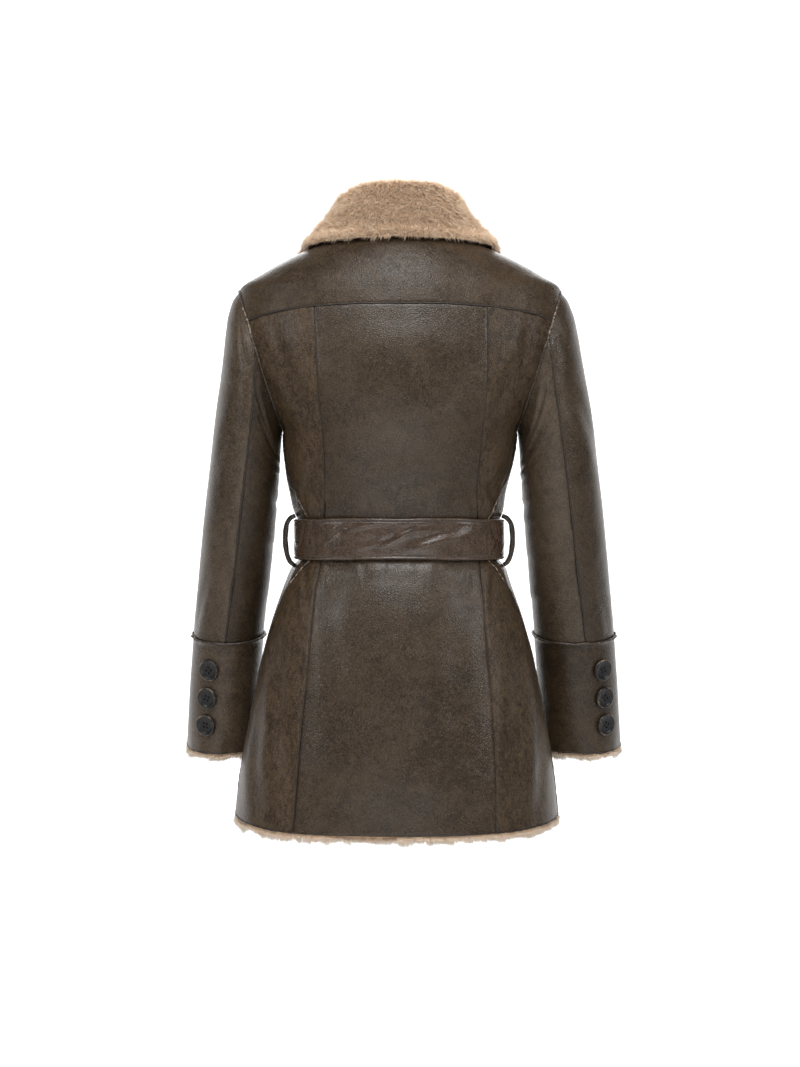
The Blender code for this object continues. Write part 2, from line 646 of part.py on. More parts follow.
# ---------------------------------------------------------------- sleeves
def sleeve_ring(row, side):
    """(centre, arm to the outer line, arm to the back) of a sleeve ring, at a whole or part row number."""
    rows = np.arange(len(SLEEVE))
    read = {name: float(smooth(rows, column(SLEEVE, SLEEVE_COLUMNS, name), row)) for name in SLEEVE_COLUMNS}
    outer = np.array([read["outer_x"] + SLEEVE_WIDEN[side][0] * ramp(0, 6, row), 0, read["outer_z"]])
    inner = np.array([read["inner_x"] + SLEEVE_WIDEN[side][1] * ramp(7, 13, row), 0, read["inner_z"]])
    centre = (outer + inner) / 2 + np.array([0, -read["swing"], 0])
    arm = (outer - inner) / 2
    back = np.array([0, read["half_depth"], -read["half_depth"] * read["pitch"]])
    return centre, arm, back


def sleeve_point(row, turn, side):
    """A place on the sleeve: turn is in degrees from the outer line, by the back."""
    centre, arm, back = sleeve_ring(row, side)
    t = math.radians(turn)
    return (centre + arm * math.cos(t) + back * math.sin(t)) * (SIDES[side], 1, 1)


def sleeve_out(row, turn, side):
    """The direction out of the sleeve's cloth."""
    below, above = min(row + 0.05, len(SLEEVE) - 1), max(row - 0.05, 0)
    along = sleeve_point(below, turn, side) - sleeve_point(above, turn, side)
    around = sleeve_point(row, turn + 1, side) - sleeve_point(row, turn - 1, side)
    out = np.cross(along, around) * SIDES[side]
    return out / np.linalg.norm(out)


def sleeve_in(row, turn, side):
    """The inner place of the wall. At the armhole it keeps to the sleeve's side of the seam."""
    place = sleeve_point(row, turn, side)
    if row > 0:
        return place - sleeve_out(row, turn, side) * WALL
    t = math.radians(turn)
    down, outwards = max(0.0, math.cos(t)), max(0.0, -math.cos(t))
    way = np.array([outwards * SIDES[side], -math.sin(t), -down])
    return place + way / np.linalg.norm(way) * WALL


def back_seam_turn(row, side):
    seam = float(smooth(np.arange(len(SLEEVE)), column(SLEEVE, SLEEVE_COLUMNS, "seam"), row))
    return 90.0 - seam - SLEEVE_TURN[side]


def sleeve_grid(side, rows, turns_of):
    """(outer grid, inner grid) of a stretch of sleeve. turns_of gives the turns of a row's places."""
    outer = np.array([[sleeve_point(r, t, side) for t in turns_of(r)] for r in rows])
    inner = np.array([[sleeve_in(r, t, side) for t in turns_of(r)] for r in rows])
    if rows[0] == 0:  # step off the armhole's plane
        away = np.array([SHOULDER_Z - UNDERARM_Z, 0, -(SHOULDER_X - UNDERARM_X)])
        away = away / np.linalg.norm(away) * (SIDES[side], 1, 1) * SEAM_GAP
        outer[0] += away
        inner[0] += away
    return outer, inner


SLEEVE_ROWS = (0, 0.5, 1, 2, 3, 4, 5, 6, 7, 8, 9, 10, 11, CUFF_ROW)
UPPER_COLUMNS, UNDER_COLUMNS = 12, 9
CUFF_COLUMNS = 22


def sleeves(side):
    def upper(row):
        return np.linspace(SLEEVE_FRONT_SEAM - 360, back_seam_turn(row, side), UPPER_COLUMNS + 1)

    def under(row):
        return np.linspace(back_seam_turn(row, side), SLEEVE_FRONT_SEAM, UNDER_COLUMNS + 1)

    wall("sleeve_upper_" + side, *sleeve_grid(side, SLEEVE_ROWS, upper), LEATHER)
    wall("sleeve_under_" + side, *sleeve_grid(side, SLEEVE_ROWS, under), LEATHER)


CUFF_FLARE = 0.0022  # the raw edge of the seam stands out
CUFF_ROWS = (12, 12.08, 12.2, 13, 14, 15, 16)


def cuff(side):
    turns = np.arange(CUFF_COLUMNS) * 360 / CUFF_COLUMNS
    outer, inner = sleeve_grid(side, CUFF_ROWS, lambda row: turns)
    for k in (0, 1):
        outer[k] += np.array([sleeve_out(CUFF_ROWS[k], t, side) for t in turns]) * CUFF_FLARE
    wall("cuff_" + side, outer, inner, LEATHER, closed=True)


def cuff_fur(side):
    """The pile that shows below the cuff, thinner than the wall and set in from its face."""
    last = len(SLEEVE) - 1
    turns = np.arange(CUFF_COLUMNS) * 360 / CUFF_COLUMNS
    centre, above = sleeve_ring(last, side)[0], sleeve_ring(last - 1, side)[0]
    down = (centre - above) * (SIDES[side], 1, 1)
    down /= np.linalg.norm(down)
    rows_outer, rows_inner = [], []
    for drop, inset in ((SEAM_GAP, 0.0012), (0.6 * FUR_REACH, 0.0010), (FUR_REACH, 0.0025)):
        edge = np.array([sleeve_point(last, t, side) for t in turns])
        out = np.array([sleeve_out(last, t, side) for t in turns])
        rows_outer.append(edge - out * inset + down * drop)
        rows_inner.append(edge - out * (WALL + 0.002 - inset / 2) + down * drop)
    wall("cuff_fur_" + side, np.array(rows_outer), np.array(rows_inner), FUR, closed=True, edges=())


FRINGE_RIPPLE = 0.0011  # the pile's lower edge wanders by this, in two waves of these rates along the hem
FRINGE_WAVES = (41, 17)


def hem_fur():
    """The pile below the hem, one strip from the right front's edge round the back to the left one's."""
    end = s_of_front(HEM_REFERENCE, -FRONT_LAP)
    places = hem_row(np.linspace(-end, end, 63))
    outer, inner = [], []
    for drop, inset in ((SEAM_GAP, 0.0012), (0.6 * FUR_REACH, 0.0008), (FUR_REACH, 0.0025)):
        out_row, in_row = [], []
        for z, s in places:
            place, out = torso(z, s)
            flat = np.array([out[0], out[1], 0]) / np.hypot(out[0], out[1])
            under = lap_sink(place) if s > 0 else 0.0
            ripple = FRINGE_RIPPLE * math.sin(FRINGE_WAVES[0] * s) * math.sin(FRINGE_WAVES[1] * s + 1)
            base = place - flat * under - np.array([0, 0, drop + (ripple if drop == FUR_REACH else 0)])
            out_row.append(base - flat * inset)
            in_row.append(base - flat * (WALL + 0.0004 - inset / 2))
        outer.append(out_row)
        inner.append(in_row)
    wall("hem_fur", np.array(outer), np.array(inner), FUR, edges=("first_column", "last_column"))


# ---------------------------------------------------------------- belt, loops, buttons
BELT_COLUMNS = 48
TIE_X = 0.004  # the knot sits just off the centre


def belt_place(share, s_share):
    """A place on the belt's inner face and the way out of it: share 0 is its top edge, 1 its bottom."""
    z = (BELT_TOP + BELT_BOTTOM) / 2
    place, out = torso(z, s_share * s_of_centre_front(z))
    out = out * (1, 1, 0) / np.hypot(out[0], out[1])
    place = place + out * (gather(z, s_share * s_of_centre_front(z)) + BELT_CLEAR)
    return place * (1, 1, 0) + np.array([0, 0, BELT_TOP + (BELT_BOTTOM - BELT_TOP) * share]), out


def belt():
    gap_share = 0.012
    shares = np.linspace(-1 + gap_share, 1 - gap_share, BELT_COLUMNS + 1)
    outer, inner = [], []
    for height in (0.0, 0.5, 1.0):
        places = [belt_place(height, share) for share in shares]
        inner.append([p for p, out in places])
        outer.append([p + out * BELT_THICK for p, out in places])
    wall("belt", np.array(outer), np.array(inner), LEATHER, edges=())


def tube(name, centres, widths, thicks, outs, finish, steps=12):
    """A strap-like solid: an oval section along a line, width across, thickness along out."""
    centres = np.array(centres, float)
    along = np.gradient(centres, axis=0)
    along /= np.linalg.norm(along, axis=1, keepdims=True)
    points, faces = [], []
    for k, (centre, width, thick, out) in enumerate(zip(centres, widths, thicks, outs)):
        out = np.array(out, float)
        out -= along[k] * (out @ along[k])
        out /= np.linalg.norm(out)
        across = np.cross(along[k], out)
        for turn in np.arange(steps) * 2 * math.pi / steps:
            c, s = math.cos(turn), math.sin(turn)
            flat = 0.45  # squares the oval off, as a folded strap is
            points.append(
                centre
                + across * width / 2 * math.copysign(abs(c) ** flat, c)
                + out * thick / 2 * math.copysign(abs(s) ** flat, s)
            )
    rings = len(centres)
    for k in range(rings - 1):
        for j in range(steps):
            a, b = k * steps + j, k * steps + (j + 1) % steps
            faces.append((a, b, b + steps, a + steps))
    faces.append(tuple(range(steps)))
    faces.append(tuple(range((rings - 1) * steps, rings * steps)))
    return solid(name, points, faces, finish)


KNOT_HEIGHT, KNOT_WIDTH, KNOT_THICK = 0.050, 0.034, 0.020
TAIL_LONG, TAIL_SHORT = 0.285, 0.235
TAIL_WIDTH, TAIL_THICK = 0.046, 0.0045
TAIL_SPREAD = 0.20  # each end drifts this far sideways for its length
TAIL_STAND = 0.0075  # an end hangs this far off the front, the second one over the first
TAIL_OVER, TAIL_LEAVES_KNOT = 0.006, 0.011


def belt_tie():
    """The knot and the belt's two hanging ends, joined into one solid."""
    middle, out = belt_place(0.5, 1.0)
    knot_at = middle + out * (BELT_THICK + SEAM_GAP + KNOT_THICK / 2) + np.array([TIE_X, 0, 0])
    rise = np.linspace(-0.5, 0.5, 9)
    swell = np.sqrt(1 - (1.86 * rise) ** 2)
    knot = tube(
        "belt_tie",
        [knot_at + np.array([0.05 * r * KNOT_WIDTH, 0, r * KNOT_HEIGHT]) for r in rise],
        KNOT_WIDTH * (0.55 + 0.45 * swell),
        KNOT_THICK * (0.45 + 0.55 * swell),
        [out] * len(rise),
        LEATHER,
    )
    for k, (sign, long) in enumerate(((1, TAIL_LONG), (-1, TAIL_SHORT))):
        drops = np.linspace(0, long, 10)
        centres, widths, outs = [], [], []
        for drop in drops:
            z = knot_at[2] - 0.006 - drop
            x = TIE_X + sign * (0.006 + TAIL_SPREAD * drop)
            place, away = torso(z, s_of_front(z, x))
            stand = TAIL_STAND + TAIL_OVER * k + TAIL_LEAVES_KNOT * math.exp(-drop / 0.05)
            centres.append(place + away * stand)
            widths.append(TAIL_WIDTH * (0.55 + 0.45 * ramp(0, 0.09, drop)))
            outs.append(away)
        tail = tube("tail_cutter", centres, widths, [TAIL_THICK] * len(drops), outs, LEATHER, steps=8)
        join = knot.modifiers.new("tail", "BOOLEAN")
        join.operation = "UNION"
        join.object = tail
        tail.hide_render = True
        tail.display_type = "WIRE"


def belt_loop(side):
    """A carrier sewn on beside the side seam above and below the belt, standing off it."""
    sign = SIDES[side]
    ends = []
    for z in (BELT_TOP + 0.0045, BELT_BOTTOM - 0.0065):
        place, out = torso(z, 0.985 * s_of_side(z), sign)
        out = out * (1, 0, 0.8) / np.hypot(out[0], 0.8 * out[2])
        foot = place + out * (stand_off(place, out, ["front_" + side, "back_side_" + side]) + 2 * SEAM_GAP)
        ends.append((foot, out))
    (high, high_out), (low, low_out) = ends
    y = (high[1] + low[1]) / 2
    far = sign * LOOP_X + lean(-0.377)
    knots = np.array([
        high, high + high_out * 0.006, (far - sign * 0.0014, y, BELT_TOP - 0.008), (far, y, -0.377),
        (far - sign * 0.0016, y, BELT_BOTTOM + 0.009), low + low_out * 0.006, low,
    ])
    count = 2 * len(knots) - 1
    numbers = range(len(knots))
    at = np.linspace(0, numbers[-1], count)
    centres = np.array([[float(smooth(numbers, knots[:, k], t)) for k in range(3)] for t in at])
    along = np.gradient(centres, axis=0)
    outs = np.cross(along, (0, 1, 0)) * -sign
    tube("belt_loop_" + side, centres, [LOOP_WIDTH] * count, [LOOP_THICK] * count, outs, LEATHER, steps=8)


BUTTON_STEPS = 20
BUTTON_PROFILE = (  # share of the radius, share of the thickness
    (0.62, 0.0), (0.90, 0.12), (1.00, 0.42), (0.97, 0.80), (0.88, 1.00), (0.76, 0.92), (0.66, 0.60), (0.0, 0.52),
)


def button(side, number, height):
    """A turned disc with a raised rim and a dished middle, lying on the cuff."""
    rows = np.linspace(CUFF_ROW, len(SLEEVE) - 1, 200)
    turn = 90.0 - BUTTON_TURN - SLEEVE_TURN[side]
    heights = [sleeve_point(r, turn, side)[2] for r in rows]
    row = float(np.interp(-height, [-h for h in heights], rows))
    place, out = sleeve_point(row, turn, side), sleeve_out(row, turn, side)
    up = np.array([0, 0, 1.0])
    across = np.cross(up, out)
    across /= np.linalg.norm(across)
    up = np.cross(out, across)
    seat = place + out * (stand_off(place, out, ["cuff_" + side]) + SEAM_GAP)
    points, faces = [seat], []
    for radius, high in BUTTON_PROFILE[:-1]:
        for k in range(BUTTON_STEPS):
            t = 2 * math.pi * k / BUTTON_STEPS
            points.append(
                seat
                + (across * math.cos(t) + up * math.sin(t)) * BUTTON_RADIUS * radius
                + out * BUTTON_THICK * high
            )
    points.append(seat + out * BUTTON_THICK * BUTTON_PROFILE[-1][1])
    rings = len(BUTTON_PROFILE) - 1
    for k in range(BUTTON_STEPS):
        following = (k + 1) % BUTTON_STEPS
        faces.append((0, 1 + following, 1 + k))
        for r in range(rings - 1):
            a, b = 1 + r * BUTTON_STEPS + k, 1 + r * BUTTON_STEPS + following
            faces.append((a, b, b + BUTTON_STEPS, a + BUTTON_STEPS))
        top = 1 + (rings - 1) * BUTTON_STEPS
        faces.append((top + k, top + following, len(points) - 1))
    solid(f"cuff_button_{side}_{number}", points, faces, HORN)


# ---------------------------------------------------------------- the coat
def main():
    for obj in list(bpy.data.objects):
        bpy.data.objects.remove(obj)
    back_yoke()
    back_centre()
    collar()
    hem_fur()
    belt()
    belt_tie()
    for side in SIDES:
        back_side(side)
        front(side)
        lapel(side)
        sleeves(side)
        cuff(side)
        cuff_fur(side)
        belt_loop(side)
        for number, height in enumerate(BUTTON_HEIGHTS, 1):
            button(side, number, height)


main()
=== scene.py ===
"""The looks of a short belted shearling coat, filled out as if worn, with nobody in it.

Units are metres, +Z up. The coat faces -Y and the wearer's left is +X. Each panel is a thin leather skin
with a plush pile pressed behind it, shaped on the same rings as the panel's solid. A place on the torso is a
height z and a distance s along its ring, from the centre back towards the wearer's left, through the side,
to the front.
"""

import math

import bmesh
import bpy
import numpy as np
from mathutils import Matrix, Vector


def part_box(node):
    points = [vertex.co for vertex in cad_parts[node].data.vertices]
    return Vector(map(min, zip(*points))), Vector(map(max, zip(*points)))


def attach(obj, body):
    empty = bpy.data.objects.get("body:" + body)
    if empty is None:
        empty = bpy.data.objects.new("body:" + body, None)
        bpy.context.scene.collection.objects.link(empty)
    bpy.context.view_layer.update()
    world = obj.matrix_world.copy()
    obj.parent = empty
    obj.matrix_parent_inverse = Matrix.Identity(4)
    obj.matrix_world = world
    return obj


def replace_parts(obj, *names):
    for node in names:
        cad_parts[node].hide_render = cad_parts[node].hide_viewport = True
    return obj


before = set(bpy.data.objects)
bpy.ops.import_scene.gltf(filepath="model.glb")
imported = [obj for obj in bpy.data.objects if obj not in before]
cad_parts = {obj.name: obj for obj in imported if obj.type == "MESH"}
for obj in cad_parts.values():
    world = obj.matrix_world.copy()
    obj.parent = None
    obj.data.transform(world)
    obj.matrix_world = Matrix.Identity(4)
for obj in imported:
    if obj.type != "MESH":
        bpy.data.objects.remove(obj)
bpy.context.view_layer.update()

# ---------------------------------------------------------------- driving sizes, the same as the solids'
WALL = 0.005
SEAM_GAP = 0.0003
FUR_THICK = 0.0095
LAPEL_REST = 0.0014
HEM_CURVE = (
    (0.0, -0.7250), (0.22, -0.7245), (0.36, -0.7210), (0.50, -0.7165), (0.70, -0.7180), (1.0, -0.7220),
)
BOW = 2.3
SHOULDER_X, SHOULDER_Z = 0.200, -0.068
UNDERARM_X, UNDERARM_Z = 0.1465, -0.240
ARMHOLE_HALF_DEPTH = 0.060
NECK_Z = -0.006
YOKE_Z, YOKE_DROP, YOKE_AT_PRINCESS = -0.0933, 0.0167, 0.55
BELT_TOP, BELT_BOTTOM = -0.352, -0.402
BELT_THICK, BELT_CLEAR = 0.0035, 0.0025
FRONT_LAP, BREAK_Z = 0.045, -0.290
ROLL_TOP_X, ROLL_TOP_Z = 0.047, -0.035
NECKLINE = (  # height and x of a front's edge, from the roll line's top to the neck
    (ROLL_TOP_Z, ROLL_TOP_X), (-0.023, 0.056), (-0.0156, 0.066), (-0.010, 0.074), (NECK_Z, 0.0815),
)
LAP_SINK, LAPEL_SINK = 0.0064, 0.0168
BUTTON_RADIUS, BUTTON_THICK = 0.014, 0.0042
BUTTON_HEIGHTS = (-0.5415, -0.577, -0.612)
BUTTON_TURN = 28.5
CUFF_ROW = 12
CUFF_FLARE = 0.0022
SIDES = {"left": 1, "right": -1}
SLEEVE_TURN = {"left": -6.0, "right": 6.0}
SLEEVE_WIDEN = {"left": (-0.0038, 0.0), "right": (0.0060, -0.0030)}
SLEEVE_FRONT_SEAM = 255.0

# Sizes of the finish.
SKIN = 0.0014  # leather alone, without its pile
CELL = 0.0046  # size of the mesh's squares on a leather skin
FRONT_CELL = 0.0060  # and on the plain fronts
SEAM_STEPS = (0.0, 0.0009, 0.0021, 0.0037, 0.0060, 0.0092)  # closer columns beside a seam
PILE_CLEAR = 0.0003  # least space between a skin and the pile behind it
PILE_FRONT, PILE_BACK, PILE_LEAST = 0.0005, 0.0009, 0.0006  # behind the skin, inside the wall, thinnest
PELT, PELT_BACKING = 0.0014, 0.0012  # where a collar's or lapel's pile starts, and the leather under it
SEAM_SINK = 0.0004  # how far a raised seam edge starts below the cloth
ROW_LENGTH, SLEEVE_RADIUS = 0.037, 0.050  # of sleeve length in one row of its table, and its usual radius
BELT_WIDTH = 0.050
BELT_MIDDLE = (BELT_TOP + BELT_BOTTOM) / 2
HEM_READ, YOKE_READ = -0.72, -0.08  # heights at which the hem's shares and the yoke's width are read
HEM_TOP = -0.70  # a panel that ends lower than this ends in the hem
# A panel's usual width, which sets how many columns its mesh has.
USUAL_WIDTH = {"back_centre": 0.20, "back_side": 0.085, "front": 0.20, "upper": 0.165, "under": 0.135}
LAPEL_PILE = 0.0030  # thickness of the pile of a lapel
ALL_EDGES = ("first_row", "last_row", "first_column", "last_column")
UV_NAME = "cloth"
STRAND, LAPEL_STRAND = 0.00042, 0.00050  # half a strand's width at its root
SIXTHS = np.radians(np.arange(0, 360, 60))
SEAM_DIP, SEAM_DIP_WIDTH = 0.0006, 0.0015  # how the skin rolls down into a seam

BODY_COLUMNS = ("z", "half_width", "lean", "back", "front", "seam_left", "seam_right", "side")
BODY = (
    (-0.735, 0.2040, 0.0040, 0.1560, 0.1545, 0.1238, 0.1185, 0.996),
    (-0.722, 0.2015, 0.0040, 0.1540, 0.1530, 0.1230, 0.1178, 0.996),
    (-0.660, 0.1945, 0.0038, 0.1460, 0.1470, 0.1185, 0.1170, 0.994),
    (-0.600, 0.1840, 0.0032, 0.1355, 0.1400, 0.1145, 0.1140, 0.992),
    (-0.540, 0.1725, 0.0027, 0.1250, 0.1320, 0.1090, 0.1100, 0.990),
    (-0.480, 0.1580, 0.0025, 0.1130, 0.1225, 0.1045, 0.1055, 0.986),
    (-0.440, 0.1450, 0.0025, 0.1015, 0.1120, 0.1010, 0.1033, 0.960),
    (-0.425, 0.1395, 0.0022, 0.0960, 0.1070, 0.0985, 0.1015, 0.915),
    (-0.412, 0.1345, 0.0015, 0.0910, 0.1020, 0.0970, 0.1000, 0.880),
    (-0.401, 0.1256, 0.0013, 0.0854, 0.0954, 0.0955, 0.0985, 0.862),
    (-0.377, 0.1252, 0.0013, 0.0850, 0.0950, 0.0935, 0.0975, 0.855),
    (-0.354, 0.1256, 0.0014, 0.0854, 0.0954, 0.0920, 0.0970, 0.865),
    (-0.345, 0.1300, 0.0018, 0.0885, 0.0985, 0.0907, 0.0968, 0.880),
    (-0.318, 0.1355, 0.0026, 0.0950, 0.1070, 0.0892, 0.0965, 0.950),
    (-0.300, 0.1395, 0.0022, 0.0995, 0.1140, 0.0895, 0.0975, 0.985),
    (-0.270, 0.1440, 0.0008, 0.1075, 0.1260, 0.0915, 0.0988, 0.995),
    (-0.240, 0.1465, 0.0000, 0.1130, 0.1325, 0.0945, 0.1008, 1.000),
    (-0.200, 0.1700, 0.0000, 0.1155, 0.1290, 0.0983, 0.1045, 1.000),
    (-0.150, 0.1900, 0.0000, 0.1120, 0.1140, 0.1002, 0.1058, 1.000),
    (-0.110, 0.1970, 0.0000, 0.1040, 0.0970, 0.1030, 0.1055, 1.000),
    (-0.068, 0.2000, 0.0000, 0.0925, 0.0800, 0.1040, 0.1055, 1.000),
    (-0.049, 0.1745, 0.0000, 0.0850, 0.0725, 0.1040, 0.1055, 1.000),
    (-0.030, 0.1410, 0.0000, 0.0755, 0.0640, 0.1040, 0.1055, 1.000),
    (-0.0156, 0.1100, 0.0000, 0.0660, 0.0560, 0.1040, 0.1055, 1.000),
    (-0.006, 0.0830, 0.0000, 0.0570, 0.0480, 0.1040, 0.1055, 1.000),
)
SLEEVE_COLUMNS = ("outer_x", "outer_z", "inner_x", "inner_z", "half_depth", "swing", "pitch", "seam")
SLEEVE = (
    (0.2000, -0.0680, 0.1465, -0.2400, 0.0600, 0.000, 0.00, 14),
    (0.2085, -0.0795, 0.1480, -0.2500, 0.0625, 0.000, 0.00, 5),
    (0.2150, -0.1000, 0.1490, -0.2595, 0.0640, 0.000, 0.00, 0),
    (0.2200, -0.1300, 0.1496, -0.2685, 0.0650, 0.001, 0.00, -2),
    (0.2255, -0.1680, 0.1503, -0.2790, 0.0650, 0.002, 0.01, -2),
    (0.2320, -0.2100, 0.1512, -0.2930, 0.0640, 0.003, 0.03, -2),
    (0.2385, -0.2550, 0.1528, -0.3130, 0.0625, 0.006, 0.06, -1),
    (0.2440, -0.3000, 0.1550, -0.3380, 0.0605, 0.010, 0.10, 0),
    (0.2495, -0.3450, 0.1580, -0.3680, 0.0585, 0.016, 0.14, 1),
    (0.2545, -0.3900, 0.1615, -0.4010, 0.0565, 0.024, 0.17, 2),
    (0.2595, -0.4350, 0.1660, -0.4390, 0.0545, 0.034, 0.18, 4),
    (0.2640, -0.4700, 0.1705, -0.4710, 0.0530, 0.043, 0.19, 5),
    (0.2670, -0.4980, 0.1737, -0.4980, 0.0520, 0.050, 0.19, 6),
    (0.2705, -0.5350, 0.1772, -0.5350, 0.0518, 0.059, 0.17, 6),
    (0.2738, -0.5700, 0.1800, -0.5700, 0.0518, 0.067, 0.15, 6),
    (0.2763, -0.6060, 0.1822, -0.6060, 0.0518, 0.075, 0.13, 6),
    (0.2792, -0.6430, 0.1845, -0.6430, 0.0518, 0.083, 0.12, 6),
)
LAST_ROW = len(SLEEVE) - 1
# Rows of the meshes, closer together beside the seams.
SLEEVE_ROWS = np.array([
    0, 0.03, 0.07, 0.13, 0.22, 0.35, *np.linspace(0.5, CUFF_ROW - 0.25, 104), 11.85, 11.92, 11.97, 12.0,
])
CUFF_ROWS = np.array([12, 12.03, 12.07, 12.12, 12.2, 12.3, *np.linspace(12.42, 15.9, 28), 15.95, 16])
COLLAR_COLUMNS = (
    "t", "base_x", "base_y", "base_z", "crown_x", "crown_y", "crown_z", "edge_x", "edge_z", "front",
)
COLLAR = (
    (0.00, 0.0000, 0.0480, -0.0042, 0.0000, 0.0490, 0.0570, 0.0000, -0.0110, 0),
    (0.18, 0.0310, 0.0455, -0.0042, 0.0315, 0.0450, 0.0570, 0.0430, -0.0124, 0),
    (0.36, 0.0580, 0.0335, -0.0042, 0.0570, 0.0310, 0.0500, 0.0790, -0.0138, 0),
    (0.54, 0.0740, 0.0140, -0.0042, 0.0700, 0.0080, 0.0410, 0.1055, -0.0170, 0),
    (0.70, 0.0770, -0.0060, -0.0042, 0.0710, -0.0170, 0.0310, 0.1195, -0.0215, 1),
    (0.85, 0.0590, -0.0320, -0.0090, 0.0620, -0.0450, 0.0110, 0.1235, -0.0440, 1),
    (1.00, 0.0360, -0.0520, -0.0260, 0.0440, -0.0740, -0.0200, 0.1230, -0.0690, 1),
)
COLLAR_LIFT, COLLAR_REST, COLLAR_ARCH = 0.0010, 0.012, 0.0066
COLLAR_UNDER = 0.0032  # from its middle line to its under side
CROWN_DROP, CROWN_DROP_LESS = 0.010, 0.006  # from the crown to its shoulders, and how much less in front
CROWN_BACK, CROWN_ROLL = 0.009, (0.0045, 0.0025)  # how the crown's middle line is rounded off
FALL_BELLY, REST_LIFT = 0.002, 0.0015  # how far the fall bows out, and lies off where it rests
COLLAR_LINES, COLLAR_READ = 60, 48  # lines over one half of it, places on each line
COLLAR_REACH = COLLAR_LIFT + FUR_THICK / 2
COLLAR_THICK = (  # share of the way from the neck to the outer edge, and the pile's thickness there
    (0.0, 0.0034), (0.50, 0.0040), (0.70, 0.0046), (0.80, 0.0072), (0.88, 0.0086), (0.95, 0.0056),
    (1.0, 0.0024),
)
COLLAR_WEIGHT = (  # the same share, and how thick the strands grow there
    (0.0, 0.2), (0.05, 0.5), (0.30, 0.6), (0.42, 1.0), (0.97, 1.0), (0.98, 0.2), (1.0, 0.0),
)
LAPEL = (  # roll line's x and z, outer edge's x and z
    (0.0455, -0.0395, 0.1290, -0.1060),
    (0.0400, -0.0550, 0.1240, -0.1230),
    (0.0320, -0.0770, 0.1160, -0.1450),
    (0.0220, -0.1050, 0.1030, -0.1700),
    (0.0110, -0.1350, 0.0860, -0.1950),
    (-0.0010, -0.1690, 0.0640, -0.2200),
    (-0.0130, -0.2020, 0.0380, -0.2440),
    (-0.0250, -0.2350, 0.0090, -0.2640),
    (-0.0350, -0.2630, -0.0180, -0.2780),
    (-0.0420, -0.2820, -0.0370, -0.2870),
)
FOLDS = (  # share of the way to the front, height, half width, half height, depth
    (0.20, -0.425, 0.016, 0.045, 0.0022),
    (0.41, -0.330, 0.014, 0.040, 0.0030),
    (0.45, -0.430, 0.015, 0.055, 0.0034),
    (0.62, -0.335, 0.015, 0.045, 0.0028),
    (0.66, -0.432, 0.016, 0.060, 0.0032),
    (0.82, -0.432, 0.014, 0.050, 0.0026),
)

# Creases of the torso: height z, distance s (positive on the wearer's left), how far the crease
# leans from upright in degrees, towards larger s at its top, half its length, half its width, and its depth.
BODY_CREASES = (
    # under the belt, where it gathers the back
    (-0.414, 0.044, 4, 0.016, 0.0032, 0.0016),
    (-0.416, 0.020, -8, 0.012, 0.0030, 0.0012),
    (-0.413, -0.022, 6, 0.014, 0.0030, 0.0013),
    (-0.415, -0.048, -5, 0.018, 0.0034, 0.0016),
    (-0.418, 0.084, 12, 0.026, 0.0042, 0.0018),
    (-0.418, -0.086, -10, 0.024, 0.0042, 0.0016),
    (-0.420, 0.125, 16, 0.036, 0.0052, 0.0022),
    (-0.422, -0.128, -14, 0.034, 0.0052, 0.0020),
    # above the belt
    (-0.340, 0.038, -6, 0.014, 0.0034, 0.0013),
    (-0.341, -0.036, 9, 0.016, 0.0034, 0.0014),
    (-0.336, 0.090, -14, 0.022, 0.0044, 0.0016),
    (-0.337, -0.092, 16, 0.022, 0.0044, 0.0016),
    (-0.325, 0.128, -26, 0.030, 0.0055, 0.0020),
    (-0.327, -0.130, 24, 0.034, 0.0055, 0.0020),
    # from the armholes down over the shoulder blades
    (-0.215, 0.128, 28, 0.050, 0.0085, 0.0020),
    (-0.200, -0.134, -24, 0.054, 0.0090, 0.0022),
    (-0.262, 0.122, 42, 0.032, 0.0065, 0.0014),
    (-0.255, -0.126, -38, 0.036, 0.0070, 0.0015),
    (-0.150, 0.150, 12, 0.040, 0.0075, 0.0016),
    (-0.146, -0.158, -10, 0.044, 0.0080, 0.0018),
    (-0.190, 0.060, 10, 0.060, 0.0160, 0.0012),
    (-0.205, -0.052, -8, 0.070, 0.0170, 0.0012),
    # down the skirt
    (-0.530, 0.070, 6, 0.090, 0.0150, 0.0016),
    (-0.560, -0.066, -5, 0.100, 0.0160, 0.0016),
    (-0.600, 0.150, 9, 0.110, 0.0140, 0.0026),
    (-0.580, -0.156, -8, 0.120, 0.0140, 0.0026),
    (-0.640, 0.190, 7, 0.080, 0.0120, 0.0022),
    (-0.650, -0.196, -7, 0.080, 0.0120, 0.0022),
    # on the fronts
    (-0.330, 0.235, 18, 0.040, 0.0060, 0.0020),
    (-0.332, -0.240, -16, 0.040, 0.0060, 0.0020),
    (-0.425, 0.250, -12, 0.045, 0.0060, 0.0022),
    (-0.424, -0.255, 14, 0.045, 0.0060, 0.0022),
    (-0.560, 0.300, 4, 0.120, 0.0150, 0.0024),
    (-0.550, -0.305, -5, 0.110, 0.0150, 0.0024),
    (-0.210, 0.236, -22, 0.040, 0.0080, 0.0018),
    (-0.206, -0.240, 24, 0.040, 0.0080, 0.0018),
)
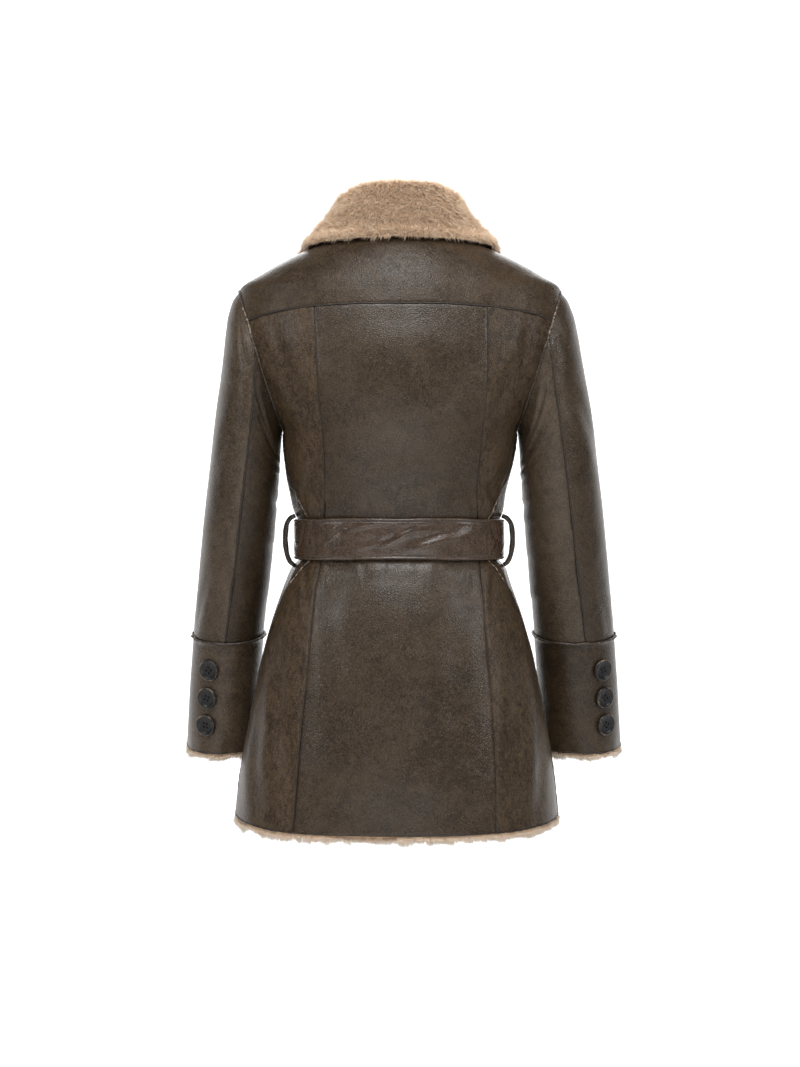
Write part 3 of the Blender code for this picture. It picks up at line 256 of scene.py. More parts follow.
# Creases of a sleeve: row and turn round it as in its table, lean from the sleeve's length in degrees, then
# half its length, half its width, and its depth.
SLEEVE_CREASES = {
    "left": (
        (1.6, 66, 18, 0.030, 0.0060, 0.0016),
        (2.6, 118, 34, 0.036, 0.0070, 0.0024),
        (3.6, 138, 52, 0.034, 0.0065, 0.0024),
        (4.9, 150, 66, 0.034, 0.0060, 0.0013),
        (6.2, 146, 72, 0.030, 0.0060, 0.0012),
        (5.4, 60, -24, 0.046, 0.0090, 0.0016),
        (7.2, 130, 80, 0.034, 0.0062, 0.0012),
        (7.8, 70, -62, 0.026, 0.0060, 0.0014),
        (8.4, 158, 74, 0.030, 0.0060, 0.0010),
        (9.6, 84, 28, 0.044, 0.0080, 0.0014),
        (10.6, 36, -16, 0.044, 0.0085, 0.0014),
        (7.0, 205, 70, 0.034, 0.0070, 0.0020),
        (8.0, 250, 78, 0.036, 0.0070, 0.0022),
        (6.4, 290, -70, 0.030, 0.0070, 0.0018),
        (9.2, 320, 60, 0.030, 0.0070, 0.0016),
        (3.2, 235, -30, 0.040, 0.0080, 0.0020),
        (4.4, 345, 10, 0.050, 0.0100, 0.0014),
    ),
    "right": (
        (1.5, 58, -14, 0.032, 0.0065, 0.0016),
        (2.4, 112, 30, 0.040, 0.0075, 0.0026),
        (3.9, 134, 50, 0.036, 0.0070, 0.0024),
        (5.2, 156, 62, 0.036, 0.0062, 0.0015),
        (6.6, 140, 76, 0.032, 0.0060, 0.0014),
        (7.5, 152, 70, 0.032, 0.0060, 0.0013),
        (4.8, 48, -30, 0.050, 0.0095, 0.0016),
        (8.9, 146, 82, 0.034, 0.0062, 0.0012),
        (8.2, 66, -54, 0.028, 0.0062, 0.0014),
        (10.2, 150, 66, 0.030, 0.0060, 0.0018),
        (9.9, 92, 24, 0.046, 0.0080, 0.0014),
        (11.0, 40, -12, 0.040, 0.0085, 0.0012),
        (7.2, 215, 72, 0.034, 0.0070, 0.0022),
        (8.3, 255, 80, 0.034, 0.0070, 0.0020),
        (6.2, 300, -66, 0.032, 0.0070, 0.0018),
        (3.4, 228, -34, 0.040, 0.0080, 0.0022),
        (4.6, 350, 14, 0.050, 0.0100, 0.0014),
    ),
}


# ---------------------------------------------------------------- reading the tables
def smooth(known, values, at):
    """A curve through the values that never overshoots them."""
    h, v = np.asarray(known, float), np.asarray(values, float)
    if h[0] > h[-1]:
        h, v = h[::-1], v[::-1]
    step = np.diff(h)
    slope = np.diff(v) / step
    inner = np.zeros(len(h) - 2)
    rising = slope[:-1] * slope[1:] > 0
    near, far = 2 * step[1:] + step[:-1], step[1:] + 2 * step[:-1]
    before, after = np.where(rising, slope[:-1], 1), np.where(rising, slope[1:], 1)
    inner[rising] = ((near + far) / (near / before + far / after))[rising]
    tangent = np.concatenate([[slope[0]], inner, [slope[-1]]])
    x = np.clip(np.asarray(at, float), h[0], h[-1])
    k = np.clip(np.searchsorted(h, x) - 1, 0, len(step) - 1)
    t = (x - h[k]) / step[k]
    return (
        (2 * t**3 - 3 * t**2 + 1) * v[k]
        + (t**3 - 2 * t**2 + t) * step[k] * tangent[k]
        + (3 * t**2 - 2 * t**3) * v[k + 1]
        + (t**3 - t**2) * step[k] * tangent[k + 1]
    )


def column(table, columns, name):
    return [row[columns.index(name)] for row in table]


def body(name, z):
    return smooth(column(BODY, BODY_COLUMNS, "z"), column(BODY, BODY_COLUMNS, name), z)


def ramp(low, high, x):
    t = np.clip((np.asarray(x, float) - low) / (high - low), 0, 1)
    return t * t * (3 - 2 * t)


def unit(v):
    return v / np.linalg.norm(v, axis=-1, keepdims=True)


def along_grid(places, axis):
    """Distances walked along the grid's rows or columns, averaged over the lines."""
    steps = np.linalg.norm(np.diff(places, axis=axis), axis=2)
    zero = np.zeros_like(np.take(steps, [0], axis=axis))
    return np.concatenate([zero, np.cumsum(steps, axis=axis)], axis=axis)


def lumps(a, b, size, seed):
    """Soft random swells between -1 and 1, of about this size, over a surface's two distances."""
    count = 61
    table = np.random.default_rng(seed).uniform(-1, 1, (count, count))
    u, v = np.asarray(a) / size, np.asarray(b) / size
    i, j = np.floor(u).astype(int), np.floor(v).astype(int)
    fu, fv = u - i, v - j
    fu, fv = fu * fu * (3 - 2 * fu), fv * fv * (3 - 2 * fv)
    i0, i1, j0, j1 = i % count, (i + 1) % count, j % count, (j + 1) % count
    low = table[i0, j0] * (1 - fu) + table[i1, j0] * fu
    high = table[i0, j1] * (1 - fu) + table[i1, j1] * fu
    return low * (1 - fv) + high * fv


# ---------------------------------------------------------------- the torso's rings
def armhole_x(z):
    return SHOULDER_X + (UNDERARM_X - SHOULDER_X) * (SHOULDER_Z - z) / (SHOULDER_Z - UNDERARM_Z)


def ring_size(z, face):
    """(half width, depth) of the rings at z. Beside the armhole they are as wide as it takes to meet it."""
    depth = body(face, z)
    middle = (SHOULDER_Z + UNDERARM_Z) / 2
    rise = (z - middle) / (SHOULDER_Z - middle)
    beside = ARMHOLE_HALF_DEPTH * np.sqrt(np.clip(1 - rise * rise, 0, 1))
    wide = armhole_x(z) / (1 - (beside / depth) ** BOW) ** (1 / BOW)
    return np.where((z > UNDERARM_Z) & (z < SHOULDER_Z), wide, body("half_width", z)), depth


RING_TURNS = np.radians(np.linspace(0, 270, 541))
RING_POINTS = 601
HEIGHTS = np.linspace(BODY[0][0], NECK_Z, 730)


def make_rings():
    """Every ring, read at even shares of its length: places, ways out, lengths, where side and front lie."""
    sine, cosine = np.sin(RING_TURNS), np.cos(RING_TURNS)
    back, front = ring_size(HEIGHTS, "back"), ring_size(HEIGHTS, "front")
    wide = np.where(cosine > 0, back[0][:, None], front[0][:, None])
    deep = np.where(cosine > 0, back[1][:, None], front[1][:, None])
    x = wide * np.sign(sine) * np.abs(sine) ** (2 / BOW)
    y = deep * np.sign(cosine) * np.abs(cosine) ** (2 / BOW)
    walked = np.hypot(np.diff(x, axis=1), np.diff(y, axis=1)).cumsum(axis=1)
    walked = np.concatenate([np.zeros((len(HEIGHTS), 1)), walked], axis=1)
    share = np.linspace(0, 1, RING_POINTS)
    places = np.empty((len(HEIGHTS), RING_POINTS, 3))
    for k, z in enumerate(HEIGHTS):
        s = share * walked[k, -1]
        places[k, :, 0], places[k, :, 1] = np.interp(s, walked[k], x[k]), np.interp(s, walked[k], y[k])
        places[k, :, 2] = z
    out = unit(np.cross(np.gradient(places, axis=0), np.gradient(places, axis=1)))
    quarter = (len(RING_TURNS) - 1) // 3
    return places, out, walked[:, -1], walked[:, quarter], walked[:, 2 * quarter]


RINGS, RING_OUT, RING_LENGTH, SIDE_LENGTH, FRONT_LENGTH = make_rings()


def row_of(z):
    at = np.clip((np.asarray(z, float) - HEIGHTS[0]) / (HEIGHTS[1] - HEIGHTS[0]), 0, len(HEIGHTS) - 1.001)
    k = at.astype(int)
    return k, at - k


def ring_value(values, z):
    k, f = row_of(z)
    return values[k] * (1 - f) + values[k + 1] * f


def s_of_x(z, x, face):
    """Distance s of the place at this x, on the back or on the front."""
    z, x = np.broadcast_arrays(np.asarray(z, float), np.asarray(x, float))
    found = np.empty(z.shape)
    k, f = row_of(z)
    share = np.linspace(0, 1, RING_POINTS)
    for at in np.ndindex(z.shape):
        xs = RINGS[k[at], :, 0] * (1 - f[at]) + RINGS[k[at] + 1, :, 0] * f[at]
        s = share * (RING_LENGTH[k[at]] * (1 - f[at]) + RING_LENGTH[k[at] + 1] * f[at])
        widest = int(xs.argmax())
        if face == "back":
            found[at] = math.copysign(np.interp(abs(x[at]), xs[: widest + 1], s[: widest + 1]), x[at])
        else:
            found[at] = np.interp(-x[at], -xs[widest:], s[widest:])
    return found


def s_of_side(z):
    return ring_value(SIDE_LENGTH, z)


def s_of_centre_front(z):
    return ring_value(FRONT_LENGTH, z)


def gather(z, s):
    """How far the belt's gathers draw the cloth in."""
    front = s_of_centre_front(z)
    share = np.abs(s) / front
    share = np.minimum(share, 2 - share)
    deep = 0.0
    for at, height, wide, tall, most in FOLDS:
        deep = deep + most * np.exp(-(((share - at) * front / wide) ** 2) - ((z - height) / tall) ** 2)
    return deep


def torso(z, s, side=1):
    """Places on the cloth and the ways out of it. side -1 counts s towards the wearer's right."""
    z, s = np.broadcast_arrays(np.asarray(z, float), np.asarray(s, float))
    k, f = row_of(z)
    length = RING_LENGTH[k] * (1 - f) + RING_LENGTH[k + 1] * f
    at = np.clip(np.abs(s) / length * (RING_POINTS - 1), 0, RING_POINTS - 1.001)
    j = at.astype(int)
    g = at - j

    def read(table):
        up, along = f[..., None], g[..., None]
        low = table[k, j] * (1 - along) + table[k, j + 1] * along
        high = table[k + 1, j] * (1 - along) + table[k + 1, j + 1] * along
        return low * (1 - up) + high * up

    place, out = read(RINGS), unit(read(RING_OUT))
    sign = np.where(s < 0, -side, side)
    place[..., 0] *= sign
    out[..., 0] *= sign
    place -= out * gather(z, s)[..., None]
    place[..., 0] += body("lean", z)
    return place, out


def hem_z(share):
    return smooth(*zip(*HEM_CURVE), np.minimum(share, 2 - share))


def s_of_end(z):
    """Where a back panel ends: the armhole, the shoulder's ridge above it, the side seam below it."""
    z = np.asarray(z, float)
    beside = s_of_x(z, armhole_x(np.clip(z, UNDERARM_Z, SHOULDER_Z)), "back")
    below = s_of_x(z, body("side", z) * ring_size(z, "back")[0], "back")
    return np.where(z >= SHOULDER_Z, s_of_side(z), np.where(z > UNDERARM_Z, beside, below))


def roll_x(z):
    """x of the wearer's left front's inner edge: the lap, then the roll line, then the neckline."""
    share = (z - BREAK_Z) / (ROLL_TOP_Z - BREAK_Z)
    roll = -FRONT_LAP + (ROLL_TOP_X + FRONT_LAP) * share
    neck = smooth(*zip(*NECKLINE), z)
    return np.where(z <= BREAK_Z, -FRONT_LAP, np.where(z <= ROLL_TOP_Z, roll, neck))


def lap_sink(places):
    """How far the left front lies inside, to pass under the right front and its lapel."""
    x, z = places[..., 0], places[..., 2]
    under = 1 - ramp(0.004, 0.048, x - body("lean", z) + roll_x(z))
    return (LAP_SINK + (LAPEL_SINK - LAP_SINK) * ramp(-0.335, BREAK_Z - 0.005, z)) * under


# ---------------------------------------------------------------- meshes
def belongs(obj):
    """Lets a piece of the coat ride with it."""
    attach(obj, "root")
    return obj


def turn_outwards(mesh, fill=False):
    """Turns a mesh's faces outwards, after its open rims are closed where fill says so."""
    work = bmesh.new()
    work.from_mesh(mesh)
    if fill:
        bmesh.ops.holes_fill(work, edges=[e for e in work.edges if e.is_boundary])
    bmesh.ops.recalc_face_normals(work, faces=work.faces)
    work.to_mesh(mesh)
    work.free()


def make(name, places, faces, finish, slot=None, uv=None, mend=False):
    """One mesh as an object of this name. mend turns all its faces outwards."""
    mesh = bpy.data.meshes.new(name)
    mesh.from_pydata(np.asarray(places).tolist(), [], faces)
    mesh.update()
    if uv is not None:
        layer = mesh.uv_layers.new(name=UV_NAME)
        corner = np.empty(len(mesh.loops), int)
        mesh.loops.foreach_get("vertex_index", corner)
        layer.data.foreach_set("uv", np.asarray(uv, float)[corner].ravel())
    mesh.materials.append(finish)
    mesh.shade_smooth()
    if mend:
        turn_outwards(mesh)
    obj = bpy.data.objects.new(name, mesh)
    bpy.context.scene.collection.objects.link(obj)
    return belongs(obj) if slot else obj


def walk(line):
    """Distances walked along a line of places."""
    return np.concatenate([[0], np.cumsum(np.linalg.norm(np.diff(line, axis=0), axis=1))])


def read_line(line, walked, at):
    """Places on a line at these walked distances."""
    return np.stack([np.interp(at, walked, line[:, k]) for k in range(3)], -1)


def tube_faces(rings, steps):
    """Faces of a tube of rings, closed at both its ends."""
    i, j = np.meshgrid(np.arange(rings - 1), np.arange(steps), indexing="ij")
    a, b = i * steps + j, i * steps + (j + 1) % steps
    faces = np.stack([a, b, b + steps, a + steps], -1).reshape(-1, 4).tolist()
    return faces + [list(range(steps))[::-1], [(rings - 1) * steps + k for k in range(steps)]]


def six_places(middle, across, out, radius):
    """A ring of six places round a thread."""
    return [middle + (across * math.cos(turn) + out * math.sin(turn)) * radius for turn in SIXTHS]


def shell(name, outer, inner, finish, slot, closed=False, mend=False):
    """A closed wall between two grids of places. closed joins the last column to the first."""
    rows, columns = outer.shape[:2]
    count = rows * columns
    across = columns if closed else columns - 1
    i, j = np.meshgrid(np.arange(rows - 1), np.arange(across), indexing="ij")
    a, b = i * columns + j, i * columns + (j + 1) % columns
    top = np.stack([b, a, a + columns, b + columns], -1).reshape(-1, 4)
    bottom = top[:, ::-1] + count
    faces = [top, bottom]
    j = np.arange(across)
    for row, turn in ((0, 1), (rows - 1, -1)):
        edge = np.stack([row * columns + j, row * columns + (j + 1) % columns], -1)
        rim = np.concatenate([edge, edge[:, ::-1] + count], -1)
        faces.append(rim[:, ::turn])
    if not closed:
        i = np.arange(rows - 1)
        for col, turn in ((0, -1), (columns - 1, 1)):
            edge = np.stack([i * columns + col, (i + 1) * columns + col], -1)
            rim = np.concatenate([edge, edge[:, ::-1] + count], -1)
            faces.append(rim[:, ::turn])
    places = np.concatenate([outer.reshape(-1, 3), inner.reshape(-1, 3)])
    faces = np.concatenate(faces)
    if shell_is_inside_out(outer, inner):
        faces = faces[:, ::-1]
    return make(name, places, faces.tolist(), finish, slot, mend=mend)


def shell_is_inside_out(outer, inner):
    a, b, c = outer[1, 0], outer[0, 0], outer[0, 1]
    return bool(np.cross(c - b, a - b) @ (outer[0, 0] - inner[0, 0]) > 0)


def seam_shares(length, cell=CELL, seams=True):
    """Shares along a stretch of cloth, closer together beside its seams."""
    edge = list(SEAM_STEPS) if seams else [0.0]
    middle = length - 2 * edge[-1]
    count = max(2, round(middle / cell))
    inner = edge[-1] + np.arange(1, count) * middle / count
    return np.array(edge + list(inner) + [length - e for e in reversed(edge)]) / length


def crease(a, b, creases):
    """How far the creases sink (positive) or lift the cloth at the places a along and b across it."""
    deep = np.zeros(np.broadcast(a, b).shape)
    for at_a, at_b, turn, length, width, most in creases:
        t = math.radians(turn)
        da, db = a - at_a, b - at_b
        along = da * math.cos(t) + db * math.sin(t)
        across = (db * math.cos(t) - da * math.sin(t)) / width
        across = across + 0.35 * np.sin(along / length * 1.7 + at_b * 60)
        fade = np.exp(-((along / length) ** 2))
        deep += most * fade * (np.exp(-across * across) - 0.55 * np.exp(-((across - 1.7) ** 2) / 1.4))
    return deep


def swell(a, b, seed):
    """The cloth's slow unevenness and its fine crumple."""
    slow = 0.00055 * lumps(a, b * 1.6, 0.060, seed) + 0.00028 * lumps(a, b, 0.026, seed + 1)
    fine = 0.00010 * lumps(a, b, 0.0105, seed + 2)
    return slow + fine


def edge_roll(places, edges):
    """The dip of a skin where it turns down into its seams."""
    rows, columns = along_grid(places, 0), along_grid(places, 1)
    distances = {
        "first_row": rows,
        "last_row": rows[-1:] - rows,
        "first_column": columns,
        "last_column": columns[:, -1:] - columns,
    }
    dip = 0.0
    for name in edges:
        dip = dip + SEAM_DIP * np.exp(-((distances[name] / SEAM_DIP_WIDTH) ** 2))
    return np.minimum(dip, SEAM_DIP * 1.3)


def trimmed(grid, closed=False):
    """The grid with its edges drawn in by half a seam gap."""
    g = grid.copy()
    g[0] += unit(grid[1] - grid[0]) * SEAM_GAP / 2
    g[-1] += unit(grid[-2] - grid[-1]) * SEAM_GAP / 2
    if not closed:
        g[:, 0] += unit(grid[:, 1] - grid[:, 0]) * SEAM_GAP / 2
        g[:, -1] += unit(grid[:, -2] - grid[:, -1]) * SEAM_GAP / 2
    return g


def behind_skin(depth, skin_depth, outer, way, rows, columns):
    """The pile's depths at its own rows and columns, with its wider squares kept behind the skin."""
    node = np.ix_(rows, columns)
    need = depth[node].copy()
    lower, share = [], []
    for kept, count in ((rows, outer.shape[0]), (columns, outer.shape[1])):
        at = np.clip(np.searchsorted(kept, np.arange(count), "right") - 1, 0, len(kept) - 2)
        lower.append(at)
        share.append((np.arange(count) - kept[at]) / (kept[at + 1] - kept[at]))
    f, g = share[0][:, None, None], share[1][None, :, None]
    corners = [(lower[0][:, None] + i, lower[1][None, :] + j) for i in (0, 1) for j in (0, 1)]
    for _ in range(3):
        place = outer[node] + way[node] * need[..., None]
        first, second, third, fourth = [place[corner] for corner in corners]
        between = (first * (1 - g) + second * g) * (1 - f) + (third * (1 - g) + fourth * g) * f
        short = np.maximum(PILE_CLEAR - ((between - outer) * way).sum(-1) + skin_depth, 0)
        more = np.zeros_like(need)
        for corner in corners:
            np.maximum.at(more, corner, short)
        need += more
    return need


def skin_and_pile(node, outer, inner, move, finish, closed=False):
    """A panel's two layers: the leather skin, moved in or out by its creases, and the pile behind it."""
    outer, inner = trimmed(outer, closed), trimmed(inner, closed)
    way = unit(inner - outer)
    face = outer + way * move[..., None]
    skin = shell(node + "_skin", face, face + way * SKIN, finish, "leather", closed)
    a, b = along_grid(outer, 0), along_grid(outer, 1)
    tufts = 0.0007 * lumps(a, b, 0.007, 5) + 0.0004 * lumps(a, b, 0.0125, 6)
    wall = np.linalg.norm(inner - outer, axis=2)
    back_depth = np.maximum(wall - PILE_BACK - tufts, move + SKIN + 2 * PILE_LEAST)
    front_depth = np.minimum(move + SKIN + PILE_FRONT, back_depth - PILE_LEAST)
    rows = np.unique(np.append(np.arange(0, outer.shape[0], 2), outer.shape[0] - 1))
    columns = np.arange(0, outer.shape[1], 2)
    if not closed:
        columns = np.unique(np.append(columns, outer.shape[1] - 1))
    node_at = np.ix_(rows, columns)
    if closed:
        front_depth = front_depth[node_at]
    else:
        front_depth = behind_skin(front_depth, move + SKIN, outer, way, rows, columns)
    back_depth = np.maximum(back_depth[node_at], front_depth + PILE_LEAST)
    front = outer[node_at] + way[node_at] * front_depth[..., None]
    back = outer[node_at] + way[node_at] * back_depth[..., None]
    return skin, shell(node + "_pile", front, back, PLUSH, "fur", closed)


def declare(node, skin, places):
    """Hides the solid that the skin replaces. The steps along its rows and columns are worked out but not
    used.
    """
    down, across = places[1:, :-1] - places[:-1, :-1], places[:-1, 1:] - places[:-1, :-1]
    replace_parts(skin, node)


# ---------------------------------------------------------------- finishes
class Value:
    """A socket of a finish's node tree. Arithmetic on it adds Math nodes."""

    def __init__(self, paint, socket):
        self.paint, self.socket = paint, socket

    def _math(self, operation, *values):
        return self.paint.node("ShaderNodeMath", {"operation": operation}, dict(enumerate(values)))

    def __add__(self, other):
        return self._math("ADD", self, other)

    __radd__ = __add__

    def __sub__(self, other):
        return self._math("SUBTRACT", self, other)

    def __rsub__(self, other):
        return self._math("SUBTRACT", other, self)

    def __mul__(self, other):
        return self._math("MULTIPLY", self, other)

    __rmul__ = __mul__

    def step(self, low, high):
        """0 below low, 1 above high, soft between."""
        settings = {"interpolation_type": "SMOOTHSTEP"}
        inputs = {"Value": self, "From Min": low, "From Max": high}
        return self.paint.node("ShaderNodeMapRange", settings, inputs)


class Paint:
    """The node tree of one finish."""

    def __init__(self, name):
        self.made = bpy.data.materials.new(name)
        self.made.use_nodes = True
        self.tree = self.made.node_tree
        self.shader = self.tree.nodes["Principled BSDF"]
        self.place = self.node("ShaderNodeTexCoord", output="Object")

    def node(self, kind, settings=None, inputs=None, output=0):
        node = self.tree.nodes.new(kind)
        for key, value in (settings or {}).items():
            setattr(node, key, value)
        for key, value in (inputs or {}).items():
            if isinstance(value, Value):
                self.tree.links.new(value.socket, node.inputs[key])
            else:
                node.inputs[key].default_value = value
        return Value(self, node.outputs[output])

    def noise(self, scale, detail=3.0, roughness=0.5, distortion=0.0, place=None):
        inputs = {"Vector": place or self.place, "Scale": scale, "Detail": detail, "Roughness": roughness}
        return self.node("ShaderNodeTexNoise", None, {**inputs, "Distortion": distortion})

    def cells(self, scale, feature="DISTANCE_TO_EDGE", place=None):
        inputs = {"Vector": place or self.place, "Scale": scale}
        return self.node("ShaderNodeTexVoronoi", {"feature": feature}, inputs)

    def along(self, axis, vector=None):
        """One coordinate of a vector, or of the mesh's own UV map."""
        vector = vector or self.node("ShaderNodeUVMap", {"uv_map": UV_NAME})
        return self.node("ShaderNodeSeparateXYZ", None, {0: vector}, axis)

    def warp(self, scale, amount):
        """Object coordinates pushed about by a noise."""
        inputs = {"Vector": self.place, "Scale": scale, "Detail": 2.0}
        push = self.node("ShaderNodeTexNoise", None, inputs, "Color")
        push = self.vector_math("SUBTRACT", {0: push, 1: (0.5, 0.5, 0.5)})
        push = self.vector_math("SCALE", {0: push, "Scale": amount})
        return self.vector_math("ADD", {0: self.place, 1: push})

    def vector_math(self, operation, inputs):
        return self.node("ShaderNodeVectorMath", {"operation": operation}, inputs)

    def mix(self, factor, a, b):
        a, b = (v if isinstance(v, Value) else (*v, 1.0) for v in (a, b))
        return self.node("ShaderNodeMix", {"data_type": "RGBA"}, {0: factor, 6: a, 7: b}, 2)

    def bump(self, height, distance, strength, under=None):
        inputs = {"Height": height, "Distance": distance, "Strength": strength}
        if under:
            inputs["Normal"] = under
        return self.node("ShaderNodeBump", None, inputs)

    def finish(self, **sockets):
        for key, value in sockets.items():
            socket = self.shader.inputs[key.replace("_", " ").title().replace("Ior", "IOR")]
            if isinstance(value, Value):
                self.tree.links.new(value.socket, socket)
            elif isinstance(value, tuple):
                socket.default_value = (*value, 1.0)
            else:
                socket.default_value = value
        return self.made


def waxed_leather(name, dark, brown, roughness=0.31, shine=0.30, grain=0.00055, streak=0.0):
    """Waxed, mottled leather: a dark ground, warmer blotches, pebbled. streak draws its grain downwards."""
    p = Paint(name)
    place = p.warp(26.0, 0.024)
    patches = p.noise(8.5, 2.0, 0.55, 0.4, place)
    mottle = p.noise(46.0, 4.0, 0.68, 0.8, place)
    specks = p.noise(240.0, 3.0, 0.72, 2.2)
    tone = mottle * 0.42 + patches * 0.26 + specks * 0.85
    if streak:
        inputs = {"Vector": place, "Rotation": (0.0, streak, 0.0), "Scale": (1.0, 1.0, 0.22)}
        drawn = p.noise(300.0, 3.0, 0.65, place=p.node("ShaderNodeMapping", None, inputs))
        tone = tone + (drawn - 0.5) * 0.60
    colour = p.mix(tone.step(0.61, 0.89), dark, brown)
    pebble = p.cells(330.0, place=place)
    # Painted shade: the pebble grain's crevices, low in the bump below, are darkened.
    colour = p.mix((1 - pebble.step(0.0, 0.24)) * 0.34, colour, tuple(c * 0.35 for c in dark))
    rough = roughness + (patches - 0.5) * 0.18 + (specks - 0.5) * 0.12
    crumple = p.noise(80.0, 3.0, 0.62, 0.6, place)
    height = pebble.step(0.0, 0.36) * 0.34 + specks * 0.46 + crumple * 0.50
    normal = p.bump(height, grain, 0.80)
    return p.finish(base_color=colour, roughness=rough, specular_ior_level=shine, normal=normal)


def raw_edge(name, tan_share, dark, tan):
    """A cut edge of bonded leather: dark skin, and its pale core in nicks along its crest where u says so."""
    p = Paint(name)
    worn, across = p.along("X"), p.along("Y")
    crest = 1 - ((across - 0.5) * (across - 0.5) * 4.0).step(0.02, 0.30)
    nicks = p.noise(260.0, 4.0, 0.7).step(0.62 - tan_share, 0.74 - tan_share * 0.6)
    pale = crest * nicks * worn
    colour = p.mix(pale, dark, tan)
    grain = p.bump(p.noise(420.0, 4.0, 0.7), 0.0005, 0.7)
    return p.finish(base_color=colour, roughness=0.44 + pale * 0.4, normal=grain)


def plush(name, root, tip):
    """Pressed pile seen from its face, in soft tufts, with painted shade: its darker root colour lies in the
    hollows between the tufts.
    """
    p = Paint(name)
    tufts = p.cells(150.0, "SMOOTH_F1", p.warp(90.0, 0.008))
    hairs = p.noise(900.0, 4.0, 0.75, 0.5)
    colour = p.mix((tufts * 0.7 + hairs * 0.45).step(0.25, 0.90), tip, root)
    depth = p.bump(1 - tufts, 0.0024, 0.8)
    fine = p.bump(hairs, 0.0008, 0.9, depth)
    return p.finish(base_color=colour, roughness=0.92, normal=fine, sheen_weight=0.35, sheen_roughness=0.4)


def hair(name, root, tip, pale):
    """The strands of the pile: dark at the root, as painted shade deep in the pile, pale at the tip, each
    tuft a little different.
    """
    p = Paint(name)
    tuft, height = p.along("X"), p.along("Y")
    clouds = p.noise(45.0, 2.0, 0.5)
    colour = p.mix(height.step(0.0, 0.70), root, tip)
    colour = p.mix((tuft * 0.7 + clouds * 0.6).step(0.35, 1.05) * height * 0.75, colour, pale)
    return p.finish(base_color=colour, roughness=0.70, sheen_weight=0.30, sheen_roughness=0.35)


def horn(name, ground, worn):
    """Dark horn with a worn, warmer rim and faint turning marks."""
    p = Paint(name)
    cloud = p.noise(130.0, 4.0, 0.6, 0.8)
    colour = p.mix(cloud.step(0.35, 0.75), ground, tuple(c * 1.9 for c in ground))
    chips = p.noise(95.0, 6.0, 0.80).step(0.46, 0.64)
    colour = p.mix(p.along("Y").step(0.15, 0.70) * chips, colour, worn)
    scratch = p.bump(p.noise(500.0, 3.0, 0.6), 0.00012, 0.6)
    return p.finish(base_color=colour, roughness=0.33 + chips * 0.16, specular_ior_level=0.40, normal=scratch)


def thread(name, colour):
    p = Paint(name)
    twist = p.node("ShaderNodeTexWave", {"bands_direction": "DIAGONAL"}, {"Vector": p.place, "Scale": 900.0})
    return p.finish(base_color=colour, roughness=0.6, normal=p.bump(twist, 0.0001, 0.6))


# Of each panel's leather: its dark ground, its warmer blotches, its roughness, shine, grain and streak.
# The left and right side, upper, under and cuff leathers are lit and shaded copies of one leather: their
# colours are painted lighter where light falls from the wearer's left, on the left's side, upper and cuff
# panels and on the right's under panel, which faces that way, and darker on the others.
LEATHERS = {
    name: waxed_leather("leather_" + name, *facts)
    for name, facts in {
        "yoke": ((0.0300, 0.0204, 0.0126), (0.0760, 0.0515, 0.0320), 0.30, 0.16, 0.00045),
        "centre": ((0.0265, 0.0178, 0.0109), (0.0665, 0.0450, 0.0276), 0.29, 0.30, 0.00045),
        "side_left": ((0.0290, 0.0185, 0.0110), (0.0860, 0.0550, 0.0310), 0.32, 0.24, 0.00055, 0.30),
        "side_right": ((0.0265, 0.0175, 0.0105), (0.0780, 0.0515, 0.0300), 0.33, 0.23, 0.00055, -0.25),
        "upper_left": ((0.0370, 0.0258, 0.0163), (0.0890, 0.0620, 0.0390)),
        "upper_right": ((0.0265, 0.0179, 0.0108), (0.0630, 0.0430, 0.0257)),
        "under_left": ((0.0200, 0.0132, 0.0079), (0.0530, 0.0350, 0.0203), 0.36, 0.24),
        "under_right": ((0.0370, 0.0260, 0.0166), (0.0830, 0.0590, 0.0375)),
        "cuff_left": ((0.0380, 0.0262, 0.0165), (0.1010, 0.0695, 0.0435)),
        "cuff_right": ((0.0240, 0.0158, 0.0091), (0.0640, 0.0420, 0.0240)),
        "belt": ((0.0360, 0.0222, 0.0148), (0.0880, 0.0565, 0.0370), 0.25, 0.46, 0.00036),
        # The strap of the belt carriers is painted darker than the belt: painted shade at the body's sides.
        "strap": ((0.0150, 0.0098, 0.0062), (0.0360, 0.0240, 0.0150), 0.28, 0.40, 0.00030),
    }.items()
}
RAW_EDGE = raw_edge("raw_edge", 0.16, (0.026, 0.0180, 0.0115), (0.42, 0.31, 0.22))
# The seam edges are painted darker than the panels' leather: painted shade along the seams.
SEAM_EDGE = raw_edge("seam_edge", 0.02, (0.0165, 0.0108, 0.0068), (0.12, 0.085, 0.06))
PLUSH = plush("plush_pile", (0.46, 0.30, 0.175), (0.76, 0.53, 0.34))
STRANDS = hair("pile_strands", (0.54, 0.345, 0.205), (0.81, 0.565, 0.365), (0.98, 0.82, 0.63))
# Painted light: the fringes' strands are painted paler than the collar's, which are the same pile.
FRINGE = hair("pile_fringe", (0.70, 0.50, 0.345), (0.98, 0.79, 0.610), (1.0, 0.94, 0.82))
HORN = horn("button_horn", (0.0072, 0.0066, 0.0066), (0.215, 0.155, 0.100))
THREAD = thread("dark_thread", (0.020, 0.016, 0.014))
STITCH = thread("belt_thread", (0.045, 0.032, 0.025))


# ---------------------------------------------------------------- panels of the body
def princess_s(z, side):
    """Distance s of the seam between the back's centre and its side, without its sign."""
    return s_of_x(z, body("seam_" + side, z), "back")


